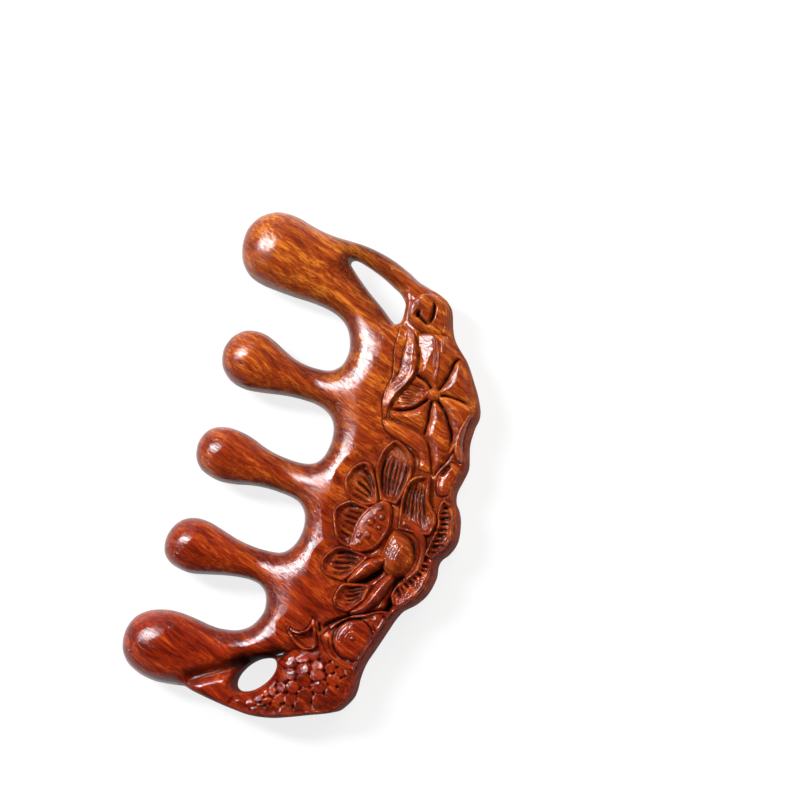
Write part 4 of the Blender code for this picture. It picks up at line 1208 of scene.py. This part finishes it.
# %% [markdown]
# ## The plain wood as one skin
# The teeth, the back and the stem are one surface on the real comb, so one mesh stands for their
# seven solids. The ground is cut down a little round every element, so that the element stands
# clear, and painted shade darkens the crease round it. Pockets are cut deep between the petals and
# beside the carp and painted dark as shade. Soft painted shadows lie beside the tail and the hole,
# and the rims behind the gaps between the teeth get painted shade.

# %% Ground
UNDER_ELEMENT_Z = 10.7
COVER_RANGE = (-0.1, 0.5)
CLEAR_RANGE = (0.4, 2.2)
GROUND_DROP = {"leaf": 0.55, "lotus": 0.9, "carp": 0.6}
GROUND_REACH = 2.8
GROUND_ROUGH = 0.4
CREASE_SHADE = 0.5
CREASE_RANGE = (-0.32, 0.05)
# Each pocket: its line, width, depth, and how dark its painted shade is.
POCKETS = [
    ([(630, 782), (650, 765), (668, 738), (685, 700)], 1.5, 2.6, 1.3),
    ([(675, 835), (700, 840), (720, 830), (732, 800), (740, 770), (748, 730)],
     1.5, 2.8, 1.3),
    ([(733, 790), (742, 745), (755, 705), (775, 662), (795, 638)], 0.8, 1.4, 1.3),
    ([(640, 860), (655, 838), (680, 834)], 1.0, 1.6, 1.3),
    ([(778, 630), (800, 640)], 0.8, 1.2, 1.3),
    ([(852, 570), (868, 515), (888, 455), (910, 405)], 2.4, 1.4, 0.7),
]
# Each soft shadow: its line, width, how deep the wood dips, and how dark its painted shadow is.
SHADES = [
    ([(900, 415), (922, 372), (942, 318), (962, 266)], 1.6, 2.0, 0.6),
    ([(852, 575), (866, 520), (886, 460), (908, 400)], 2.4, 0.8, 0.65),
]
SHADE_SPREAD = 0.8
RIM_SHADE = 0.40
RIM_SHADE_REACH = (1.5, 4.2)
GAP_LOW_END = (0.24, 0.34)
GAP_HIGH_END = (0.60, 0.52)


def element_nearby(at, e, reach):
    """Which points are close to an element, and how deep inside it those are."""
    low, high = e["border"].at.min(0) - reach, e["border"].at.max(0) + reach
    near = np.all((at > low) & (at < high), axis=1)
    _, inside = e["border"].nearest(at[near])
    return near, inside


def skin_top(at, depth, index):
    """Top of the plain wood, cut down round the carved elements, and its painted shade."""
    height = plain_height(at, index, depth)
    stain_and_shade, drop, cover, cut = np.zeros((4, len(at)))
    for e in elements.values():
        if e["foot"] < FOOT_Z:
            continue
        near, inside = element_nearby(at, e, GROUND_REACH)
        cover[near] = np.maximum(cover[near], smoothstep(*COVER_RANGE, inside))
        if e["blend"]:
            continue
        sunk = GROUND_DROP[e["slot"]] * (1 - smoothstep(0, GROUND_REACH, -inside))
        drop[near] = np.maximum(drop[near], sunk)
        # Painted shade in the crease round each element.
        stain_and_shade[near] = np.maximum(stain_and_shade[near], CREASE_SHADE * smoothstep(*CREASE_RANGE, inside))
    drop -= GROUND_ROUGH * gouge_at(at) * np.clip(drop, 0, 1)
    for places, width, deep, dark in POCKETS:
        carve(at, cut, stain_and_shade, places, width, deep, dark)
    in_hole = index >= len(outer_loop) + len(tear_loop)
    clear = np.where(in_hole, 1, smoothstep(*CLEAR_RANGE, depth))
    height += (cut - drop) * clear
    stain_and_shade *= clear
    for places, width, deep, dark in SHADES:
        gap = line_gap(at, cut_line(places))
        height -= deep * np.exp(-(gap / width) ** 2)
        stain_and_shade += dark * np.exp(-(gap / (width * SHADE_SPREAD)) ** 2)
    across = share_of(at)[:, 1]
    gap_end = smoothstep(*GAP_LOW_END, across) * smoothstep(*GAP_HIGH_END, across)
    # Painted shade on the rims behind the gaps between the teeth.
    stain_and_shade += RIM_SHADE * gap_end * edge_soft[index] * (1 - smoothstep(*RIM_SHADE_REACH, depth))
    height = height * (1 - cover) + np.minimum(height, UNDER_ELEMENT_Z) * cover
    return height, stain_and_shade


print(len(POCKETS), "pockets and", len(SHADES), "soft shadows")

# %% [markdown]
# The top and the underside are two sheets with the same border, joined by the straight wall. Where
# the wood is round they meet, and there the two borders become one.

# %% Skin
SKIN_SPACING = 0.34
UNDER_SPACING = 0.9
UNDER_RINGS = RINGS + (1.5, 2.1)
WELD = 0.02


def comb_skin():
    """The mesh of the teeth, the back and the stem."""
    at, tris, depth, index, rim = layout(comb_border, SKIN_SPACING)
    height, stain_and_shade = skin_top(at, depth, index)
    low_at, low_tris, low_depth, low_index, low_rim = layout(
        comb_border, UNDER_SPACING, UNDER_RINGS)
    low_height = plain_bottom(low_at, low_index, low_depth)
    height[rim] = np.maximum(height[rim], low_height[low_rim])
    n = len(at)
    verts = np.vstack([np.column_stack([at, height]), np.column_stack([low_at, low_height])])
    faces = tris.tolist() + (low_tris[:, ::-1] + n).tolist()
    welded = np.abs(height[rim] - low_height[low_rim]) < WELD
    below = np.where(welded, rim, n + low_rim)
    swap = {int(n + low_rim[i]): int(rim[i]) for i in np.nonzero(welded)[0]}
    faces = [[swap.get(v, v) for v in f] for f in faces]
    for i, j in rim_pairs(comb_border):
        side = [int(below[i]), int(below[j]), int(rim[j]), int(rim[i])]
        side = [v for k, v in enumerate(side) if v != side[k - 1]]
        if len(side) > 2:
            faces.append(side)
    made = wood_object("comb_wood", verts, faces, np.concatenate([stain_and_shade, np.zeros(len(low_at))]))
    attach(made, "root")
    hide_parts("comb_back", "tooth_1", "tooth_2", "tooth_3", "tooth_4", "tooth_5", "stem_loop")
    return made


skin = comb_skin()
print("skin", len(skin.data.polygons), "faces")

# %% [markdown]
# ## Wood
# The wood is a red-brown rosewood type, oiled and varnished. Its fibres run from the knobs to the
# back, slanted a little. Long soft bands of lighter and darker wood, fine streaks and short dark
# pores all follow them. The grain is a node group, so that every part of the comb shares it.

# %% Short ways to nodes


def new_socket(group, name, kind, way, default=None):
    """Gives a node group one more input or output."""
    made = group.interface.new_socket(name, in_out=way, socket_type=kind)
    if default is not None:
        made.default_value = default
    return made


class Nodes:
    """Short ways to place and join shader nodes."""

    def __init__(self, tree):
        self.tree = tree

    def add(self, kind, label=None, **settings):
        node = self.tree.nodes.new(kind)
        for key, value in settings.items():
            setattr(node, key, value)
        if label:
            node.label = label
        return node

    def join(self, out, into):
        self.tree.links.new(out, into)

    def put(self, socket, value):
        if hasattr(value, "is_output"):
            self.join(value, socket)
        else:
            socket.default_value = value

    def maths(self, operation, a, b=0.0, clamp=False):
        node = self.add("ShaderNodeMath", operation=operation, use_clamp=clamp)
        self.put(node.inputs[0], a)
        self.put(node.inputs[1], b)
        return node.outputs[0]

    def mix(self, share, a, b, blend="MIX"):
        node = self.add("ShaderNodeMix", data_type="RGBA", blend_type=blend)
        self.put(node.inputs["Factor"], share)
        self.put(node.inputs[6], a)
        self.put(node.inputs[7], b)
        return node.outputs[2]

    def noise(self, vector, scale, detail=2.0, roughness=0.5):
        node = self.add("ShaderNodeTexNoise")
        self.put(node.inputs["Vector"], vector)
        self.put(node.inputs["Scale"], scale)
        self.put(node.inputs["Detail"], detail)
        self.put(node.inputs["Roughness"], roughness)
        return node.outputs["Fac"]

    def range(self, value, low, high):
        node = self.add("ShaderNodeMapRange", interpolation_type="SMOOTHSTEP")
        for socket, v in zip(node.inputs, (value, low, high)):
            self.put(socket, v)
        return node.outputs[0]


print("short ways:", ", ".join(name for name in vars(Nodes) if name[0] != "_"))

# %% [markdown]
# Three noises, stretched along the fibres, give the bands, the streaks and the pores. A fourth bends
# the fibres a little, because a straight grain would look printed.

# %% Grain group
FIBRE_WIDTH = 0.0004
FIBRE_LENGTH = 0.0030
FIBRE_SLANT = 0.36
WANDER_SCALE = 45.0
WANDER_REACH = 0.005
BAND_NOISE = (0.16, 2.0, 0.5)
STREAK_NOISE = (0.62, 4.0, 0.7)
PORE_NOISE = (1.35, 1.0, 0.5)
PORE_SHARE = (0.54, 0.66)


def grain_group():
    """Bands, streaks and pores that follow the fibres of the wood."""
    group = bpy.data.node_groups.new("wood_grain", "ShaderNodeTree")
    new_socket(group, "Fibre Width", "NodeSocketFloat", "INPUT", FIBRE_WIDTH)
    new_socket(group, "Fibre Length", "NodeSocketFloat", "INPUT", FIBRE_LENGTH)
    for name in ("Band", "Streak", "Pore"):
        new_socket(group, name, "NodeSocketFloat", "OUTPUT")
    n = Nodes(group)
    inp, out = n.add("NodeGroupInput"), n.add("NodeGroupOutput")
    coord = n.add("ShaderNodeTexCoord").outputs["Object"]
    wander = n.noise(coord, WANDER_SCALE)
    split = n.add("ShaderNodeSeparateXYZ")
    n.join(coord, split.inputs[0])
    bend = n.maths("MULTIPLY", n.maths("SUBTRACT", wander, 0.5), WANDER_REACH)
    across = n.maths("ADD", split.outputs[0], bend)
    slant = n.maths("MULTIPLY", split.outputs[1], -FIBRE_SLANT)
    across = n.maths("ADD", across, slant)
    stretched = n.add("ShaderNodeCombineXYZ", "across, along, up in fibres")
    n.put(stretched.inputs[0], n.maths("DIVIDE", across, inp.outputs["Fibre Width"]))
    n.put(stretched.inputs[1], n.maths("DIVIDE", split.outputs[1], inp.outputs["Fibre Length"]))
    n.put(stretched.inputs[2], n.maths("DIVIDE", split.outputs[2], inp.outputs["Fibre Width"]))
    fibres = stretched.outputs[0]
    n.join(n.noise(fibres, *BAND_NOISE), out.inputs["Band"])
    n.join(n.noise(fibres, *STREAK_NOISE), out.inputs["Streak"])
    n.join(n.range(n.noise(fibres, *PORE_NOISE), *PORE_SHARE), out.inputs["Pore"])
    return group


grain = grain_group()
print(len(grain.nodes), "nodes in the grain group")

# %% [markdown]
# The finish group turns the grain, the stain and painted shade that the knife work left, and the
# place along the comb into a colour, a roughness and a height. The board that the comb was cut from
# is light and orange at the leaf, and deep red at the carp. The colour comes first.

# %% Colour of the finish
LIGHT_END = -0.062
DARK_END = 0.055
WOOD_COLOURS = (("Light Wood", (0.60, 0.170, 0.018, 1)), ("Middle Wood", (0.29, 0.044, 0.006, 1)),
                ("Dark Wood", (0.11, 0.012, 0.003, 1)), ("Crevice", (0.012, 0.003, 0.002, 1)))
RED_END = (0.84, 0.38, 0.45, 1)
WHITE = (1, 1, 1, 1)
BAND_CONTRAST = (0.34, 0.66)
STREAK_CONTRAST = (0.36, 0.64)
BAND_WEIGHT = 0.46
STREAK_WEIGHT = 0.48
PLACE_WEIGHT = 0.14
LIGHT_HALF = (0.0, 0.55)
DARK_HALF = (0.50, 1.08)
PORE_DARK = 0.6


def finish_colour(n, inp, wood, along, streak):
    """The colour of the wood, with its pores, its red end, and the stain and painted shade of the
    knife work.
    """
    band = n.range(wood.outputs["Band"], *BAND_CONTRAST)
    mixed = n.maths("ADD", n.maths("MULTIPLY", band, BAND_WEIGHT),
                    n.maths("MULTIPLY", streak, STREAK_WEIGHT))
    shade = n.maths("ADD", mixed, n.maths("MULTIPLY", along, PLACE_WEIGHT), clamp=True)
    light, middle, dark = (inp.outputs[name + " Wood"] for name in ("Light", "Middle", "Dark"))
    colour = n.mix(n.range(shade, *LIGHT_HALF), light, middle)
    colour = n.mix(n.range(shade, *DARK_HALF), colour, dark)
    red = n.mix(n.maths("MULTIPLY", along, inp.outputs["Redness"]), WHITE, RED_END)
    colour = n.mix(1.0, colour, red, "MULTIPLY")
    pore = n.maths("MULTIPLY", wood.outputs["Pore"], PORE_DARK)
    colour = n.mix(pore, colour, dark)
    # The darkening kept at the points turns the wood towards the crevice colour: partly dark polish
    # in the cuts, partly painted shade.
    held = n.add("ShaderNodeAttribute", attribute_name="stain_and_shade", attribute_type="GEOMETRY")
    depth = n.maths("MULTIPLY", held.outputs["Fac"], inp.outputs["Stain And Shade"], clamp=True)
    return n.mix(depth, colour, inp.outputs["Crevice"])


print("colours:", ", ".join(name for name, _ in WOOD_COLOURS))

# %% [markdown]
# The varnish lies a little rougher in the streaks and on steep sides, and it sinks into the pores.
# The group gives that as a roughness and a height, and the material makes the shine from them.

# %% Finish group
VARNISH_ROUGH = 0.07
STREAK_ROUGH = 0.04
STEEP_RANGE = (0.45, 0.10)
STEEP_ROUGH = 0.30
STREAK_HEIGHT = -0.5
PORE_HEIGHT = -0.9
GOUGE_SCALE = 2200.0


def finish_group():
    """Colour, roughness and height of the varnished wood."""
    group = bpy.data.node_groups.new("wood_finish", "ShaderNodeTree")
    for name, colour in WOOD_COLOURS:
        new_socket(group, name, "NodeSocketColor", "INPUT", colour)
    for name, default in (("Redness", 1.0), ("Stain And Shade", 1.0), ("Gouge", 0.0), ("Matt", 0.0)):
        new_socket(group, name, "NodeSocketFloat", "INPUT", default)
    new_socket(group, "Colour", "NodeSocketColor", "OUTPUT")
    for name in ("Roughness", "Height"):
        new_socket(group, name, "NodeSocketFloat", "OUTPUT")
    n = Nodes(group)
    inp, out = n.add("NodeGroupInput"), n.add("NodeGroupOutput")
    wood = n.add("ShaderNodeGroup")
    wood.node_tree = grain
    coord = n.add("ShaderNodeTexCoord").outputs["Object"]
    split = n.add("ShaderNodeSeparateXYZ")
    n.join(coord, split.inputs[0])
    along = n.range(split.outputs[0], LIGHT_END, DARK_END)
    streak = n.range(wood.outputs["Streak"], *STREAK_CONTRAST)
    n.join(finish_colour(n, inp, wood, along, streak), out.inputs["Colour"])
    rough = n.maths("ADD", n.maths("MULTIPLY", streak, STREAK_ROUGH), VARNISH_ROUGH)
    rough = n.maths("ADD", rough, inp.outputs["Matt"])
    face = n.add("ShaderNodeSeparateXYZ")
    n.join(n.add("ShaderNodeNewGeometry").outputs["True Normal"], face.inputs[0])
    steep = n.maths("MULTIPLY", n.range(face.outputs[2], *STEEP_RANGE), STEEP_ROUGH)
    n.join(n.maths("ADD", rough, steep), out.inputs["Roughness"])
    hill = n.maths("ADD", n.maths("MULTIPLY", streak, STREAK_HEIGHT),
                   n.maths("MULTIPLY", wood.outputs["Pore"], PORE_HEIGHT))
    tool = n.maths("MULTIPLY", n.noise(coord, GOUGE_SCALE, 1.0), inp.outputs["Gouge"])
    n.join(n.maths("ADD", hill, tool), out.inputs["Height"])
    return group


finish = finish_group()
print(len(finish.nodes), "nodes in the finish group")

# %% [markdown]
# The polished knobs shine. The wall along the back was left matt, so the skin has six finishes that
# step from one to the other. The carved elements keep fine tool marks, deepest on the petals and
# the scales. The bud is less red than the wood round it.

# %% Finishes
WALL_FINISHES = ((0.0, 0.0, 1.5), (0.2, 0.05, 1.44), (0.4, 0.11, 1.38), (0.6, 0.17, 1.32),
                 (0.8, 0.23, 1.26), (1.0, 0.3, 1.2))
WALL_STEEP = 0.8
BUMP_HEIGHT = 0.000035
TOOLED_GOUGE = 1.8
PITTED = {"leaf": (2.0, 0.0), "lotus": (6.0, 0.05), "carp": (2.0, 0.0)}


def wood_material(name, gouge=0.0, matt=0.0, ior=1.5, redness=1.0):
    """Varnished wood: the shared finish, with the shine following the pores."""
    made = bpy.data.materials.new(name)
    made.use_nodes = True
    n = Nodes(made.node_tree)
    shader = made.node_tree.nodes["Principled BSDF"]
    wood = n.add("ShaderNodeGroup")
    wood.node_tree = finish
    wood.inputs["Gouge"].default_value = gouge
    wood.inputs["Matt"].default_value = matt
    wood.inputs["Redness"].default_value = redness
    n.join(wood.outputs["Colour"], shader.inputs["Base Color"])
    n.join(wood.outputs["Roughness"], shader.inputs["Roughness"])
    lift = n.add("ShaderNodeBump")
    lift.inputs["Strength"].default_value = 1.0
    lift.inputs["Distance"].default_value = BUMP_HEIGHT
    n.join(wood.outputs["Height"], lift.inputs["Height"])
    n.join(lift.outputs["Normal"], shader.inputs["Normal"])
    shader.inputs["IOR"].default_value = ior
    return made


def wall_faces(made):
    """The number of the finish of each face, by how far it belongs to the straight wall."""
    count = len(made.data.polygons)
    middle, normal = np.empty(count * 3), np.empty(count * 3)
    made.data.polygons.foreach_get("center", middle)
    made.data.polygons.foreach_get("normal", normal)
    steep = np.abs(normal.reshape(-1, 3)[:, 2]) < WALL_STEEP
    index, _ = comb_border.nearest(middle.reshape(-1, 3)[steep, :2] / MM)
    chosen = np.zeros(count, np.int32)
    chosen[steep] = np.round(wall_share[index] * (len(WALL_FINISHES) - 1))
    return chosen


for number, (gouge, matt, ior) in enumerate(WALL_FINISHES):
    finish_name = "wood_wall_" + str(number) if number else "wood_polished"
    skin.data.materials.append(wood_material(finish_name, gouge=gouge, matt=matt, ior=ior))
skin.data.polygons.foreach_set("material_index", wall_faces(skin))
for slot_name, (gouge, matt) in PITTED.items():
    tooled = wood_material("wood_" + slot_name, gouge=TOOLED_GOUGE)
    pitted = wood_material("wood_pitted_" + slot_name, gouge=gouge, matt=matt)
    for name, piece in pieces.items():
        if elements[name]["slot"] == slot_name and name != "lotus_bud":
            rough_cut = name == "carp_body" or name[:6] == "petal_" and "fold" not in name
            piece.data.materials.append(pitted if rough_cut else tooled)
bud_wood = wood_material("wood_bud", gouge=2.5, matt=0.03, redness=0.3)
pieces["lotus_bud"].data.materials.append(bud_wood)
print(len(skin.data.materials), "finishes on the skin")

# %% [markdown]
# ## Light and floor
# The floor is white to the camera and keeps the comb's shadow, but throws little light back up, so
# that the sides of the teeth stay deep in colour.

# %% Floor
FLOOR_SIZE = 3.0
FLOOR_DROP = 0.0001
FLOOR_GLOW = 0.82
FLOOR_BOUNCE = (0.13, 0.09, 0.06, 1)
FLOOR_PALE = ((0.94, 0.94, 0.94, 1), (0.97, 0.97, 0.97, 1))
CLOUD_SCALE = 9.0


def floor_material():
    """White to the camera and in reflections, dark to every other ray."""
    made = bpy.data.materials.new("pale_floor")
    made.use_nodes = True
    n = Nodes(made.node_tree)
    shader = made.node_tree.nodes["Principled BSDF"]
    ray = n.add("ShaderNodeLightPath").outputs
    mirrored = n.maths("MAXIMUM", ray["Is Glossy Ray"], ray["Is Transmission Ray"])
    shown = n.maths("MAXIMUM", ray["Is Camera Ray"], mirrored)
    cloud = n.noise(n.add("ShaderNodeTexCoord").outputs["Object"], CLOUD_SCALE, 3.0)
    n.join(n.mix(shown, FLOOR_BOUNCE, n.mix(cloud, *FLOOR_PALE)), shader.inputs["Base Color"])
    shader.inputs["Roughness"].default_value = 0.9
    shader.inputs["Specular IOR Level"].default_value = 0.1
    white = n.add("ShaderNodeEmission")
    white.inputs["Color"].default_value = WHITE
    white.inputs["Strength"].default_value = 1.0
    both = n.add("ShaderNodeMixShader")
    n.join(n.maths("MULTIPLY", shown, FLOOR_GLOW), both.inputs[0])
    n.join(shader.outputs[0], both.inputs[1])
    n.join(white.outputs[0], both.inputs[2])
    n.join(both.outputs[0], made.node_tree.nodes["Material Output"].inputs["Surface"])
    return made


floor_mesh = bpy.data.meshes.new("floor")
half = FLOOR_SIZE / 2
floor_mesh.from_pydata([(-half, -half, 0), (half, -half, 0), (half, half, 0), (-half, half, 0)],
                       [], [(0, 1, 2, 3)])
floor = bpy.data.objects.new("floor", floor_mesh)
floor_mesh.materials.append(floor_material())
bpy.context.scene.collection.objects.link(floor)
floor.location.z = -FLOOR_DROP
print("floor", FLOOR_SIZE, "m wide")

# %% [markdown]
# The photograph has one narrow soft window beyond the teeth, which makes the long highlights on the
# knobs. Three wide fills, from the side, from above and from behind, lift the dark sides and leave
# no highlight of their own.

# %% Lamps
WINDOW_WAY = Vector((-0.15, -0.62, 0.77)).normalized()
WINDOW_SPIN = math.radians(18)
SIDE_WAY = Vector((-0.80, 0.15, 0.60)).normalized()
BACK_WAY = Vector((-0.1, 0.9, 0.38)).normalized()
CEILING_WAY = Vector((-0.55, 0.25, 0.80)).normalized()


def lamp(name, way, away, size, power, colour, spin=0.0):
    """An oval lamp that looks at the comb, so far away, in metres and watts."""
    data = bpy.data.lights.new(name, "AREA")
    data.shape = "ELLIPSE"
    data.size, data.size_y = size
    data.energy = power
    data.color = colour
    made = bpy.data.objects.new(name, data)
    made.location = TARGET + way * away
    made.rotation_euler = way.to_track_quat("Z", "Y").to_euler()
    made.rotation_euler.rotate_axis("Z", spin)
    bpy.context.scene.collection.objects.link(made)
    return made


lamp("window", WINDOW_WAY, away=0.9, size=(0.14, 0.48), power=11.0, colour=(0.94, 0.97, 1.0),
     spin=WINDOW_SPIN)
fills = [
    lamp("side_fill", SIDE_WAY, away=1.0, size=(0.8, 0.5), power=5.2, colour=(1.0, 0.95, 0.90)),
    lamp("ceiling_fill", CEILING_WAY, away=1.0, size=(0.7, 0.7), power=3.0,
         colour=(1.0, 0.97, 0.94)),
    lamp("back_fill", BACK_WAY, away=1.0, size=(0.8, 0.5), power=1.2, colour=(1.0, 0.92, 0.84)),
]
for fill in fills:
    fill.visible_glossy = False
print("one window and", len(fills), "fills")

# %% [markdown]
# The room is dark, with one paler wall, so that the varnish has something soft to mirror.

# %% Room
BRIGHT_WALL_WAY = (-0.8, -0.6, 0.0)
DARK_WALL = (0.09, 0.07, 0.06, 1)
BRIGHT_WALL = (0.36, 0.36, 0.38, 1)
WALL_FADE = (-0.6, 0.9)
CEILING_COLOUR = (0.03, 0.03, 0.032, 1)
CEILING_FADE = (0.0, 0.75)
world = bpy.data.worlds.new("studio")
world.use_nodes = True
bpy.context.scene.world = world
n = Nodes(world.node_tree)
sky = world.node_tree.nodes["Background"]
way = n.add("ShaderNodeTexCoord").outputs["Generated"]
split = n.add("ShaderNodeSeparateXYZ")
n.join(way, split.inputs[0])
side = n.add("ShaderNodeVectorMath", operation="DOT_PRODUCT")
n.join(way, side.inputs[0])
side.inputs[1].default_value = BRIGHT_WALL_WAY
walls = n.mix(n.range(side.outputs["Value"], *WALL_FADE), DARK_WALL, BRIGHT_WALL)
room = n.mix(n.range(split.outputs[2], *CEILING_FADE), walls, CEILING_COLOUR)
n.join(room, sky.inputs["Color"])
sky.inputs["Strength"].default_value = 1.0
bpy.context.scene.view_settings.view_transform = "Standard"
print("room", world.name)

# %% [markdown]
